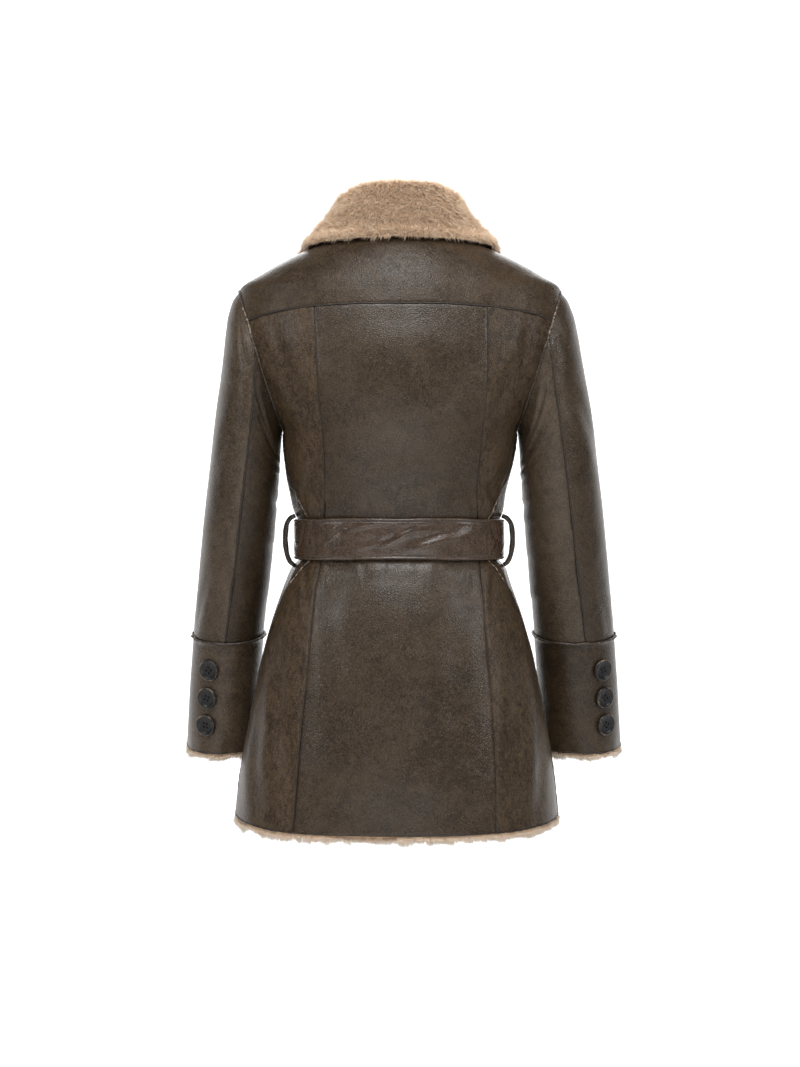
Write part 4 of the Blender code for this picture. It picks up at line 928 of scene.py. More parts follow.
def yoke_z(z, s):
    """Height of the yoke seam below or above the place (z, s)."""
    princess = np.where(s < 0, princess_s(z, "right"), princess_s(z, "left"))
    end = s_of_end(z)
    share = np.abs(s) / princess * YOKE_AT_PRINCESS
    past = YOKE_AT_PRINCESS + (1 - YOKE_AT_PRINCESS) * (np.abs(s) - princess) / (end - princess)
    return YOKE_Z - YOKE_DROP * np.where(np.abs(s) < princess, share, np.clip(past, 0, 1)) ** 3


def hem_at(z, s):
    """Height of the hem where its share of the way to the front is the place's."""
    return hem_z(np.abs(s) / s_of_centre_front(z))


def panel_grid(top, low, near, far, columns, cell=CELL):
    """(z, s) of a panel. top and low are heights for each column, near and far give s for a height."""
    down = seam_shares(float(np.mean(top - low)), cell)[:, None]
    z = top[None, :] + (low - top)[None, :] * down
    heights = np.linspace(z.min(), z.max(), 240)
    near_s, far_s = np.interp(z, heights, near(heights)), np.interp(z, heights, far(heights))
    return z, near_s + (far_s - near_s) * columns[None, :]


def body_panel(node, z, s, side, finish, seed, edges=ALL_EDGES, sink=None):
    """A panel of the torso's cloth. sink moves its places in, where it passes under another one."""
    place, out = torso(z, s, side)
    if sink:
        place = place - out * sink(place)[..., None]
    last = out[-1] * (1, 1, 0) if z[-1].max() < HEM_TOP else out[-1]
    inner_out = out.copy()
    inner_out[-1] = unit(last)
    fade = 1 - 0.7 * np.exp(-(((z - BELT_MIDDLE) / 0.030) ** 4))
    move = (crease(z, s * side, BODY_CREASES) + swell(z, s * side, seed)) * fade
    move = np.clip(move, -0.0012, 0.0030) + edge_roll(place, edges)
    skin, pile = skin_and_pile(node, place, place - inner_out * WALL, move, finish)
    declare(node, skin, place)


def yoke_seam_z(share):
    """Heights of the yoke seam at these signed shares of the way to the armholes."""
    z = np.full(len(share), YOKE_Z)
    for _ in range(4):
        z = yoke_z(z, share * s_of_end(z))
    return z


def back_yoke():
    wide = float(s_of_end(YOKE_READ))
    share = seam_shares(2 * wide) * 2 - 1
    low = yoke_seam_z(share)
    down = seam_shares(float(np.mean(NECK_Z - low)) * 1.25)[:, None]
    z = NECK_Z + (low - NECK_Z)[None] * down
    heights = np.linspace(z.min(), NECK_Z, 300)
    s = np.interp(z, heights, s_of_end(heights)) * share[None, :]
    body_panel("back_yoke", z, s, 1, LEATHERS["yoke"], 11)


def back_centre():
    def right(z):
        return -princess_s(z, "right")

    def left(z):
        return princess_s(z, "left")

    def across(z):
        return np.full(len(columns), z), right(np.array([z])) * (1 - columns) + left(np.array([z])) * columns

    columns = seam_shares(USUAL_WIDTH["back_centre"])
    z, s = panel_grid(yoke_z(*across(YOKE_Z)), hem_at(*across(HEM_READ)), right, left, columns)
    body_panel("back_centre", z, s, 1, LEATHERS["centre"], 21)


def back_side(side):
    def near(z):
        return princess_s(z, side)

    columns = seam_shares(USUAL_WIDTH["back_side"])
    z0 = np.full(len(columns), YOKE_Z - 0.6 * YOKE_DROP)
    sign = SIDES[side]
    for _ in range(3):
        s0 = near(z0) + (s_of_end(z0) - near(z0)) * columns
        z0 = yoke_z(z0, s0 * sign)
    hem = np.full(len(columns), HEM_READ)
    low = hem_at(hem, near(hem) + (s_of_end(hem) - near(hem)) * columns)
    z, s = panel_grid(z0, low, near, s_of_end, columns)
    body_panel("back_side_" + side, z, s, sign, LEATHERS["side_" + side], 31 + sign)


def front(side):
    def start(z):
        beside = s_of_x(z, armhole_x(np.clip(z, UNDERARM_Z, SHOULDER_Z)), "front")
        return np.where(z >= SHOULDER_Z, s_of_side(z), np.where(z > UNDERARM_Z, beside, s_of_end(z)))

    def end(z):
        return s_of_x(z, roll_x(z), "front")

    columns = seam_shares(USUAL_WIDTH["front"], FRONT_CELL)
    hem = np.full(len(columns), HEM_READ)
    low = hem_at(hem, start(hem) + (end(hem) - start(hem)) * columns)
    z, s = panel_grid(np.full(len(columns), NECK_Z), low, start, end, columns, FRONT_CELL)
    body_panel(
        "front_" + side, z, s, SIDES[side], LEATHERS["centre"], 41 + SIDES[side],
        ("first_row", "first_column", "last_row"), lap_sink if side == "left" else None,
    )


# ---------------------------------------------------------------- sleeves and cuffs
def sleeve_frame(row, side):
    rows = np.arange(len(SLEEVE))
    read = {n: smooth(rows, column(SLEEVE, SLEEVE_COLUMNS, n), row) for n in SLEEVE_COLUMNS}
    zero = np.zeros_like(np.asarray(row, float))
    outer = np.stack([read["outer_x"] + SLEEVE_WIDEN[side][0] * ramp(0, 6, row), zero, read["outer_z"]], -1)
    inner = np.stack([read["inner_x"] + SLEEVE_WIDEN[side][1] * ramp(7, 13, row), zero, read["inner_z"]], -1)
    centre = (outer + inner) / 2 - np.stack([zero, read["swing"], zero], -1)
    back = np.stack([zero, read["half_depth"], -read["half_depth"] * read["pitch"]], -1)
    return centre, (outer - inner) / 2, back


def sleeve_point(row, turn, side):
    row, turn = np.broadcast_arrays(np.asarray(row, float), np.asarray(turn, float))
    centre, arm, back = sleeve_frame(row, side)
    t = np.radians(turn)[..., None]
    return (centre + arm * np.cos(t) + back * np.sin(t)) * (SIDES[side], 1, 1)


def sleeve_out(row, turn, side):
    row = np.asarray(row, float)
    low, high = np.minimum(row + 0.05, LAST_ROW), np.maximum(row - 0.05, 0)
    along = sleeve_point(low, turn, side) - sleeve_point(high, turn, side)
    around = sleeve_point(row, np.asarray(turn) + 1.0, side) - sleeve_point(row, np.asarray(turn) - 1.0, side)
    return unit(np.cross(along, around) * SIDES[side])


def sleeve_inner(row, turn, side):
    place = sleeve_point(row, turn, side)
    t = np.radians(turn) + 0 * place[..., 0]
    zero = np.zeros_like(t)
    c, s = np.cos(t), np.sin(t)
    at_armhole = np.stack([np.maximum(0, -c) * SIDES[side], -s, -np.maximum(0, c)], -1)
    near = (np.asarray(row, float) + zero)[..., None] < 0.02
    way = np.where(near, unit(at_armhole), -sleeve_out(row, turn, side))
    return place + way * WALL


def back_seam_turn(row, side):
    """How far round the sleeve its back seam lies, in degrees."""
    seam = smooth(np.arange(len(SLEEVE)), column(SLEEVE, SLEEVE_COLUMNS, "seam"), row)
    return 90.0 - seam - SLEEVE_TURN[side]


def sleeve_move(row, turn, side, place):
    """Creases and swells of a sleeve, in metres along it and round it."""
    down, around = row * ROW_LENGTH, np.radians(turn) * SLEEVE_RADIUS
    creases = [
        (at * ROW_LENGTH, math.radians(angle) * SLEEVE_RADIUS, *rest)
        for at, angle, *rest in SLEEVE_CREASES[side]
    ]
    return crease(down, around, creases) + swell(down, around, 51) + edge_roll(place, ALL_EDGES)


def sleeves(side):
    away = np.array([SHOULDER_Z - UNDERARM_Z, 0, -(SHOULDER_X - UNDERARM_X)])
    away = unit(away) * (SIDES[side], 1, 1) * SEAM_GAP
    for part in ("upper", "under"):
        node = f"sleeve_{part}_{side}"
        seam = back_seam_turn(SLEEVE_ROWS, side)[:, None]
        columns = seam_shares(USUAL_WIDTH[part])[None, :]
        if part == "upper":
            turn = (SLEEVE_FRONT_SEAM - 360) * (1 - columns) + seam * columns
        else:
            turn = seam * (1 - columns) + SLEEVE_FRONT_SEAM * columns
        row = SLEEVE_ROWS[:, None] + 0 * turn
        outer, inner = sleeve_point(row, turn, side), sleeve_inner(row, turn, side)
        outer[0] += away
        inner[0] += away
        move = np.clip(sleeve_move(row, np.mod(turn, 360), side, outer), -0.0016, 0.0032)
        move = move * (0.25 + 0.75 * ramp(0.0, 0.6, row))
        skin, pile = skin_and_pile(node, outer, inner, move, LEATHERS[f"{part}_{side}"])
        declare(node, skin, outer)


def cuff_wave(around):
    """How far the cuff's mouth swings in and out of its round, at these distances round it."""
    return 0.0016 * lumps(around, 0 * around, 0.019, 73)


def cuff(side):
    node = "cuff_" + side
    turn = np.arange(0, 360, 3.75)[None, :]
    row = CUFF_ROWS[:, None] + 0 * turn
    outer, inner = sleeve_point(row, turn, side), sleeve_inner(row, turn, side)
    out = sleeve_out(row, turn, side)
    uneven = 0.8 + 0.35 * lumps(turn * 0.0009, row * 0.001, 0.011, 71)
    outer += out * (CUFF_FLARE * (1 - ramp(12.0, 12.16, row)) * uneven)[..., None]
    around = np.radians(turn) * SLEEVE_RADIUS + 0 * row
    wave = (cuff_wave(around) * ramp(15.0, 16.0, row))[..., None]
    outer, inner = outer + out * wave, inner + out * wave
    move = swell(row * ROW_LENGTH, around, 75) * 0.8 * np.sin(math.pi * np.clip((row - 12) / 4, 0, 1))
    skin, pile = skin_and_pile(node, outer, inner, move, LEATHERS[node], closed=True)
    declare(node, skin, outer)


# ---------------------------------------------------------------- seams
SEAM_SIZES = {  # width, height and finish of the raised edges
    "princess": (0.0013, 0.0008, SEAM_EDGE),
    "side": (0.0024, 0.0013, RAW_EDGE),
    "shoulder": (0.0020, 0.0010, SEAM_EDGE),
    "armhole": (0.0030, 0.0017, RAW_EDGE),
    "sleeve": (0.0021, 0.0014, SEAM_EDGE),
    "cuff": (0.0029, 0.0018, RAW_EDGE),
    "yoke": (0.0021, 0.0012, SEAM_EDGE),
    "cut": (0.0017, 0.0010, SEAM_EDGE),
}
EDGE_LIFT, EDGE_IN = 0.0008, 0.0003  # where a cut edge lies, above the cut and in from the cloth's face
RIDGE = ((-0.5, -1), (-0.52, 0.25), (-0.36, 0.78), (0.0, 1.0), (0.36, 0.78), (0.52, 0.25), (0.5, -1))
RIDGE_STEP = 0.0022


def ridge(name, places, outs, kind, seed, wave=0.25, bury=0.0006, worn=1.0):
    """A raised seam edge swept along a line, uneven as cut by hand. worn is how far its pale core shows,
    where it is worn, and on the side seams also as a painted highlight beside the belt.
    """
    width, height, finish = SEAM_SIZES[kind]
    profile = np.array(RIDGE)
    walked = walk(places)
    count = max(8, int(walked[-1] / RIDGE_STEP))
    at = np.linspace(0, walked[-1], count)
    line, out = read_line(places, walked, at), unit(read_line(outs, walked, at))
    along = unit(np.gradient(line, axis=0))
    across = unit(np.cross(along, out))
    rng = np.random.default_rng(seed)
    size = 1 + wave * lumps(at, 0 * at, 0.006, seed) + wave * 0.4 * rng.uniform(-1, 1, count)
    sway = 0.20 * width * lumps(at, 0 * at + 0.5, 0.011, seed + 1)
    line = line + across * sway[:, None]
    rise = np.where(profile[:, 1] < 0, -bury, profile[:, 1] * height)
    points = (
        line[:, None]
        + across[:, None] * (profile[:, 0] * width)[None, :, None] * size[:, None, None]
        + out[:, None] * np.where(rise < 0, rise, rise * size[:, None])[..., None]
    )
    ends = np.sin(np.clip(np.minimum(at, walked[-1] - at) / 0.004, 0, 1) * math.pi / 2)
    points = line[:, None] + (points - line[:, None]) * (0.15 + 0.85 * ends)[:, None, None]
    n = len(profile)
    worn = np.interp(at, walked, np.broadcast_to(worn, walked.shape))
    uv = np.stack([np.repeat(worn, n), np.tile(np.linspace(0, 1, n), count)], 1)
    make(name, points.reshape(-1, 3), tube_faces(count, n), finish, "leather", uv, mend=True)


def sunk_ridge(name, place_out, *facts, **more):
    """A raised seam edge that starts a little below the cloth."""
    place, out = place_out
    ridge(name, place - out * SEAM_SINK, out, *facts, **more)


def seams():
    for side, sign in SIDES.items():
        z = np.linspace(YOKE_Z - 0.002, -0.7225, 300)
        for part, keep in (("upper", z > BELT_TOP - 0.004), ("lower", z < BELT_BOTTOM + 0.004)):
            at = torso(z[keep], princess_s(z[keep], side), sign)
            sunk_ridge(f"princess_seam_{side}_{part}", at, "princess", 101 + sign)
        z = np.linspace(UNDERARM_Z - 0.004, -0.7165, 260)
        # Painted highlight: the side seam's pale core, its own tan, shows only beside the belt, where the
        # edge catches the light.
        core_lit_by_belt = ramp(-0.455, -0.430, z) * (1 - ramp(-0.330, -0.312, z))
        at = torso(z, s_of_end(z), sign)
        sunk_ridge(f"side_seam_{side}", at, "side", 111 + sign, worn=core_lit_by_belt)
        z = np.linspace(SHOULDER_Z + 0.0005, NECK_Z - 0.0005, 40)
        at = torso(z, s_of_side(z), sign)
        sunk_ridge(f"shoulder_seam_{side}", at, "shoulder", 121 + sign)
        turn = np.linspace(0, 360, 200)
        place, out = sleeve_point(0.0, turn, side), sleeve_out(0.10, turn, side)
        out = unit(out + np.array([0.25 * sign, 0, 0.25]))
        worn = 0.12 + 0.88 * np.exp(-(((place[:, 2] + 0.108) / 0.026) ** 2))
        ridge(f"armhole_seam_{side}", place, out, "armhole", 131 + sign, 0.35, 0.0012, worn)
        rows = np.linspace(0.12, CUFF_ROW - 0.05, 240)
        for name, turn in (("back", back_seam_turn(rows, side)), ("front", SLEEVE_FRONT_SEAM)):
            at = sleeve_point(rows, turn, side), sleeve_out(rows, turn, side)
            sunk_ridge(f"sleeve_{name}_seam_{side}", at, "sleeve", 141 + sign)
        turn = np.linspace(0, 360, 220)
        place, out = sleeve_point(CUFF_ROW + 0.01, turn, side), sleeve_out(CUFF_ROW, turn, side)
        up = sleeve_point(CUFF_ROW - 0.2, turn, side) - place
        place = place + out * CUFF_FLARE * 0.55
        lift = unit(out + 0.55 * unit(up))
        ridge(f"cuff_seam_{side}", place, lift, "cuff", 151 + sign, 0.40, worn=0.16)
    share = np.linspace(-0.995, 0.995, 260)
    z = yoke_seam_z(share)
    place, out = torso(z, share * s_of_end(z))
    ridge("yoke_seam", place - out * 0.0003, out, "yoke", 161)


# ---------------------------------------------------------------- fur
def scatter(places, outs, count, rng, weight=None):
    """Random roots on a grid: places, ways out, the grid's two directions, the distances along them."""
    du, dv = np.gradient(places, axis=0), np.gradient(places, axis=1)
    area = np.linalg.norm(np.cross(du, dv), axis=2)[:-1, :-1].ravel()
    if weight is not None:
        area = area * weight[:-1, :-1].ravel()
    cell = rng.choice(len(area), count, p=area / area.sum())
    i, j = np.unravel_index(cell, (places.shape[0] - 1, places.shape[1] - 1))
    a, b = rng.random(count), rng.random(count)

    def read(grid):
        shape = (-1,) + (1,) * (grid.ndim - 2)
        f, g = a.reshape(shape), b.reshape(shape)
        return (
            grid[i, j] * (1 - f) * (1 - g) + grid[i + 1, j] * f * (1 - g)
            + grid[i, j + 1] * (1 - f) * g + grid[i + 1, j + 1] * f * g
        )

    u, v = read(along_grid(places, 0)), read(along_grid(places, 1))
    return read(places), unit(read(outs)), unit(read(du)), unit(read(dv)), u, v


TUFTS, TUFT_MIX = 4096, (7919, 104729)  # how many tufts differ, and how a tuft's place picks one of them


def strands(name, roots, lay, stand, length, width, tuft, seed, pull, ragged=0.25, finish=STRANDS):
    """Pile as slim three-sided spikes that lean together in tufts.

    lay is how far they lean along the grid's two directions and stand how far outwards, tuft is a tuft's
    size, pull how far its tips draw together, and ragged how much tufts differ in length.
    """
    root, out, down, across, u, v = roots
    count = len(root)
    rng = np.random.default_rng(seed)
    cell = np.floor(np.stack([u, v], 1) / tuft + rng.uniform(-0.22, 0.22, (count, 2))).astype(int)
    key = (cell[:, 0] * TUFT_MIX[0] + cell[:, 1] * TUFT_MIX[1]) % TUFTS
    facts = np.random.default_rng(seed + 1).random((TUFTS, 5))[key]
    to_u = (cell[:, 0] + 0.25 + 0.5 * facts[:, 0]) * tuft - u
    to_v = (cell[:, 1] + 0.25 + 0.5 * facts[:, 1]) * tuft - v
    long = length * (1 - ragged + 2 * ragged * facts[:, 2]) * rng.uniform(0.70, 1.15, count)
    away = out * stand + down * lay[0] + across * lay[1]
    away = away + down * ((facts[:, 3] - 0.5) * 0.7)[:, None] + across * ((facts[:, 4] - 0.5) * 0.8)[:, None]
    away = unit(away + rng.normal(0, 0.24, (count, 3)))
    tip = root + away * long[:, None] + (down * to_u[:, None] + across * to_v[:, None]) * pull
    side = unit(np.cross(away, rng.normal(0, 1, (count, 3))))
    third = np.cross(away, side)
    half = width * rng.uniform(0.7, 1.2, count)[:, None]
    behind, wide = root - side * half * 0.5, third * half * 0.87
    points = np.stack([root + side * half, behind + wide, behind - wide, tip], 1).reshape(-1, 3)
    base = (np.arange(count) * 4)[:, None]
    faces = np.concatenate([base + f for f in ([0, 1, 3], [1, 2, 3], [2, 0, 3], [0, 2, 1])]).tolist()
    tone = np.repeat(np.clip(facts[:, 2] * 0.75 + rng.uniform(0, 0.35, count), 0, 1), 4)
    uv = np.stack([tone, np.tile([0.0, 0.0, 0.0, 1.0], count)], 1)
    return make(name, points, faces, finish, "fur", uv)


def collar_line(t):
    """The middle line of the collar's cloth: up the stand, over the crown, down the fall to its edge."""
    shares = column(COLLAR, COLLAR_COLUMNS, "t")
    read = {n: float(smooth(shares, column(COLLAR, COLLAR_COLUMNS, n), t)) for n in COLLAR_COLUMNS[1:]}
    base, crown = (np.array([read[f"{part}_{axis}"] for axis in "xyz"]) for part in ("base", "crown"))
    x, z = read["edge_x"], read["edge_z"]
    upper = [row for row in BODY if row[0] >= SHOULDER_Z]
    z = min(z, float(smooth([-row[1] for row in upper], [row[0] for row in upper], -x)) - 0.0004)
    s = s_of_x(z, x, "back" if read["front"] < 0.5 else "front")
    place, out = torso(z, s)
    place, out = place.reshape(3), out.reshape(3)
    edge = place + out * COLLAR_REACH
    way = edge - crown
    way -= out * (way @ out)
    rest = edge - unit(way) * COLLAR_REST + out * REST_LIFT
    up = unit(crown - base)
    over = rest - base
    over = unit(over - up * (over @ up))
    down = CROWN_DROP - CROWN_DROP_LESS * float(ramp(0.7, 1.0, t))
    rise = crown - up * down - over * COLLAR_ARCH
    fall = crown - up * down + over * COLLAR_ARCH
    belly = (fall + rest) / 2 + out * FALL_BELLY
    roll = over * CROWN_ROLL[0] - up * CROWN_ROLL[1]
    stand = [base, (base + rise) / 2, rise, crown - over * CROWN_BACK + roll, crown, crown + roll]
    fallen = [clear_of_torso(knot, COLLAR_REACH) for knot in (fall, belly, rest, (rest + edge) / 2, edge)]
    return np.array(stand + fallen)


def clear_of_torso(place, need):
    """The place, moved out where it lies nearer to the torso than it needs to."""
    z = min(place[2], NECK_Z)
    k, f = (int(v) if n == 0 else float(v) for n, v in enumerate(row_of(z)))
    ring = RINGS[k] * (1 - f) + RINGS[k + 1] * f
    turns = np.unwrap(np.arctan2(ring[:, 0], ring[:, 1]))
    share = np.interp(math.atan2(place[0], place[1]), turns, np.linspace(0, 1, RING_POINTS))
    below, out = torso(z, share * float(ring_value(RING_LENGTH, z)))
    below, out = below.reshape(3), out.reshape(3)
    return place + out * max(0.0, need - float((place - below) @ out))


def resample(line, count):
    """A smooth curve through the knots of a line, read at even distances."""
    at = walk(line)
    new = np.linspace(0, at[-1], count)
    return np.stack([smooth(at, line[:, k], new) for k in range(3)], 1)


def pelt_and_backing(under_name, pelt_name, face, under, out):
    """The pile of a collar or lapel from its face inwards, and the leather that it is bonded to."""
    skin = shell(under_name, under + out * PELT_BACKING, under, LEATHERS["yoke"], "leather")
    return skin, shell(pelt_name, face, under + out * PELT, PLUSH, "fur")


def collar():
    half_lines = np.array([resample(collar_line(t), COLLAR_READ) for t in np.linspace(0, 1, COLLAR_LINES)])
    half_lines[0][:, 0] = 0.0
    lines = np.concatenate([half_lines[:0:-1] * (-1, 1, 1), half_lines])
    out = unit(np.cross(np.gradient(lines, axis=0), np.gradient(lines, axis=1)))
    share = np.linspace(0, 1, COLLAR_READ)
    thick = smooth(*zip(*COLLAR_THICK), share)[None, :, None]
    a, b = along_grid(lines, 0), along_grid(lines, 1)
    bumps = 0.0010 * lumps(a, b, 0.012, 81)[..., None]
    face = lines + out * (thick / 2 - 0.0002 + bumps)
    under = lines - out * COLLAR_UNDER
    skin, pelt = pelt_and_backing("collar_under", "collar_pelt", face, under, out)
    weight = np.tile(np.interp(share, *zip(*COLLAR_WEIGHT)), (len(lines), 1))
    for k, count, length, ragged in ((1, 30000, 0.0080, 0.25), (2, 27000, 0.0094, 0.48)):
        roots = scatter(face, out, count, np.random.default_rng(80 + 2 * k), weight)
        facts = (0.0, 0.60), 0.72, length, STRAND, 0.0052, 83 + k, 0.26, ragged
        strands(f"collar_strands_{k}", roots, *facts)
    roots = scatter(face[:, -9:], out[:, -9:], 9000, np.random.default_rng(86))
    facts = (0.0, 0.95), 0.30, 0.0092, STRAND, 0.0060, 87, 0.5, 0.42
    strands("collar_edge_strands", roots, *facts)
    declare("collar", pelt, lines)


def lapel(side):
    along = np.linspace(0, 1, len(LAPEL))
    line = [smooth(along, values, np.linspace(0, 1, 62))[:, None] for values in zip(*LAPEL)]
    share = np.linspace(0, 1, 28)[None, :]
    x, z = (line[k] + (line[k + 2] - line[k]) * share for k in (0, 1))
    place, out = torso(z, s_of_x(z, x, "front"), SIDES[side])
    if side == "left":
        place = place - out * lap_sink(place)[..., None]
    a, b = along_grid(place, 0), along_grid(place, 1)
    lift = LAPEL_REST + LAPEL_PILE + 0.0008 * lumps(a, b, 0.012, 91 + SIDES[side])
    face = place + out * lift[..., None]
    back = place + out * LAPEL_REST
    skin, pelt = pelt_and_backing("lapel_under_" + side, "lapel_pelt_" + side, face, back, out)
    roots = scatter(face, out, 11500, np.random.default_rng(92 + SIDES[side]))
    facts = (0.50, 0.30), 0.72, 0.0080, LAPEL_STRAND, 0.0056, 93 + SIDES[side], 0.32
    fur = strands("lapel_strands_" + side, roots, *facts)
    declare("lapel_" + side, pelt, place)


FRINGE_DEEP = 0.005  # how far the band of pile below a cut edge reaches
# Of each fringe: its band's drops and ways in from the cloth's face, how much thicker than the wall it is,
# the count and seed of its strands, and their length, tuft, seed and raggedness.
FRINGES = {
    "hem": (
        ((SEAM_GAP, 0.0014), (0.0028, 0.0016), (0.0050, 0.0030)), 0.0004, 20000, 97,
        (0.0094, 0.0080, 98, 0.36),
    ),
    "cuff": (
        ((SEAM_GAP, 0.0014), (0.0026, 0.0015), (0.0046, 0.0028)), 0.0018, 6500, 107,
        (0.0086, 0.0076, 108, 0.32),
    ),
}


def fringe(part, tail, edge, out, down, uneven, closed=False):
    """The pile that reaches below a cut edge: a band of its mass, and loose strands that hang from it."""
    rows, behind, count, seed, (length, tuft, strand_seed, ragged) = FRINGES[part]
    outer, inner = [], []
    for drop, inset in rows:
        base = edge + down * (drop + uneven * drop / FRINGE_DEEP)[:, None]
        outer.append(base - out * inset)
        inner.append(base - out * (WALL + behind - inset / 2))
    outer, inner = np.array(outer), np.array(inner)
    band = shell(f"{part}_pile{tail}", outer[::-1], inner[::-1], PLUSH, "fur", closed, mend=True)
    share = np.linspace(0, 1, 4)[:, None, None]
    bed = outer[1] * (1 - share) + inner[1] * share - down * 0.0012
    if closed:
        bed, out = np.concatenate([bed, bed[:, :1]], axis=1), np.concatenate([out, out[:1]])
    rng = np.random.default_rng(seed)
    root, way, _, along, u, v = scatter(bed, np.broadcast_to(out, bed.shape), count, rng)
    roots = root, way, np.broadcast_to(down, way.shape), along, u, v
    facts = (1, 0), 0.16, length, STRAND, tuft, strand_seed, 0.45, ragged, FRINGE
    strands(f"{part}_strands{tail}", roots, *facts)
    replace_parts(band, f"{part}_fur{tail}")


def hem_pile():
    reference = np.full(1, HEM_READ)
    end = float(s_of_x(reference, np.array([-FRONT_LAP]), "front")[0])
    s_row = np.linspace(-end, end, 420)
    front = float(s_of_centre_front(reference)[0])
    z = hem_z(np.abs(s_row) / front)
    s = s_row * s_of_centre_front(z) / front
    place, out = torso(z, s)
    out = unit(out * (1, 1, 0))
    place = place - out * np.where(s > 0, lap_sink(place), 0.0)[:, None]
    down = np.array([0, 0, -1.0])
    ridge("hem_edge", place - down * EDGE_LIFT - out * EDGE_IN, out, "cut", 175, 0.45)
    uneven = 0.0018 * lumps(s, 0 * s, 0.014, 95) + 0.0010 * lumps(s, 0 * s, 0.006, 96)
    fringe("hem", "", place, out, down, uneven)


def cuff_pile(side):
    turns = np.arange(0, 360, 3.0)
    edge, out = sleeve_point(LAST_ROW, turns, side), sleeve_out(LAST_ROW, turns, side)
    centre, above = sleeve_frame(float(LAST_ROW), side)[0], sleeve_frame(float(LAST_ROW - 1), side)[0]
    down = unit((centre - above) * (SIDES[side], 1, 1))
    around = np.radians(turns) * SLEEVE_RADIUS
    edge = edge + out * cuff_wave(around)[:, None]
    whole = np.arange(len(turns) + 1) % len(turns)
    rim = (edge - out * EDGE_IN - down * EDGE_LIFT)[whole]
    ridge("cuff_edge_" + side, rim, out[whole], "cut", 177, 0.45)
    zero = 0 * around
    uneven = 0.0016 * lumps(around, zero, 0.012, 105) + 0.0008 * lumps(around, zero, 0.0055, 106)
    fringe("cuff", "_" + side, edge, out, down, uneven, closed=True)


# ---------------------------------------------------------------- belt, carriers, tie
# Creases of the belt: height from its middle, s, lean, half length, half width, depth, as the torso's.
BELT_CREASES = (
    (-0.003, -0.050, -77, 0.034, 0.0066, -0.0023),
    (-0.009, -0.046, -80, 0.024, 0.0030, 0.0008),
    (0.006, -0.006, -58, 0.018, 0.0036, -0.0012),
    (0.001, 0.010, -62, 0.022, 0.0030, 0.0010),
    (-0.006, 0.030, -78, 0.024, 0.0032, -0.0008),
    (0.004, 0.078, -52, 0.022, 0.0024, 0.0011),
    (-0.004, 0.088, -30, 0.014, 0.0028, -0.0009),
    (0.010, 0.046, -82, 0.024, 0.0030, 0.0007),
    (0.009, -0.030, -84, 0.026, 0.0030, -0.0008),
    (0.000, 0.105, 14, 0.018, 0.0026, 0.0008),
    (0.002, 0.113, -10, 0.020, 0.0024, 0.0007),
    (-0.003, -0.112, 6, 0.020, 0.0020, 0.0012),
    (0.004, -0.124, 34, 0.014, 0.0024, 0.0016),
    (-0.006, -0.129, -38, 0.014, 0.0022, 0.0016),
    (0.004, -0.134, 12, 0.018, 0.0020, 0.0016),
    (0.002, 0.128, -22, 0.018, 0.0024, 0.0014),
    (0.000, 0.170, 66, 0.030, 0.0030, 0.0012),
    (-0.003, -0.175, -62, 0.030, 0.0030, 0.0012),
    (0.003, 0.230, 30, 0.020, 0.0034, 0.0014),
    (0.000, -0.236, -26, 0.020, 0.0034, 0.0014),
    (0.000, 0.290, 50, 0.026, 0.0034, 0.0016),
    (0.002, -0.296, -44, 0.026, 0.0034, 0.0016),
)
BELT_OPEN = 0.012  # share of half its way round that stays open under the knot
BELT_COLUMNS = 380
BELT_HALF = (  # shares of its width at which the rows of its upper half lie
    0, 0.010, 0.030, 0.050, 0.066, 0.080, 0.094, 0.115, 0.14, *np.linspace(0.17, 0.47, 10),
)
BELT_ROUND = 0.035  # share of its width over which its edges are rounded off
STITCH_LONG, STITCH_PITCH, STITCH_WIDE = 0.0030, 0.0042, 0.0007
STITCH_FROM_EDGE = 0.0040
GROOVE, GROOVE_WIDTH = 0.00085, 0.0009  # the dent along the stitches
PUFF, PUFF_WIDTH, PUFF_FROM_EDGE = 0.0005, 0.0012, 0.0020  # the swell between them and the edge


def belt_face(share, s_share):
    """Places on the belt's inner face and the ways out: share 0 is its top edge, 1 its bottom."""
    front = float(s_of_centre_front(np.array([BELT_MIDDLE]))[0])
    share, s_share = np.broadcast_arrays(share, s_share)
    place, out = torso(BELT_MIDDLE, s_share * front)
    out = unit(out * (1, 1, 0))
    place = place + out * (gather(BELT_MIDDLE, s_share * front) + BELT_CLEAR)[..., None]
    place[..., 2] = BELT_TOP + (BELT_BOTTOM - BELT_TOP) * share
    return place, out, s_share * front


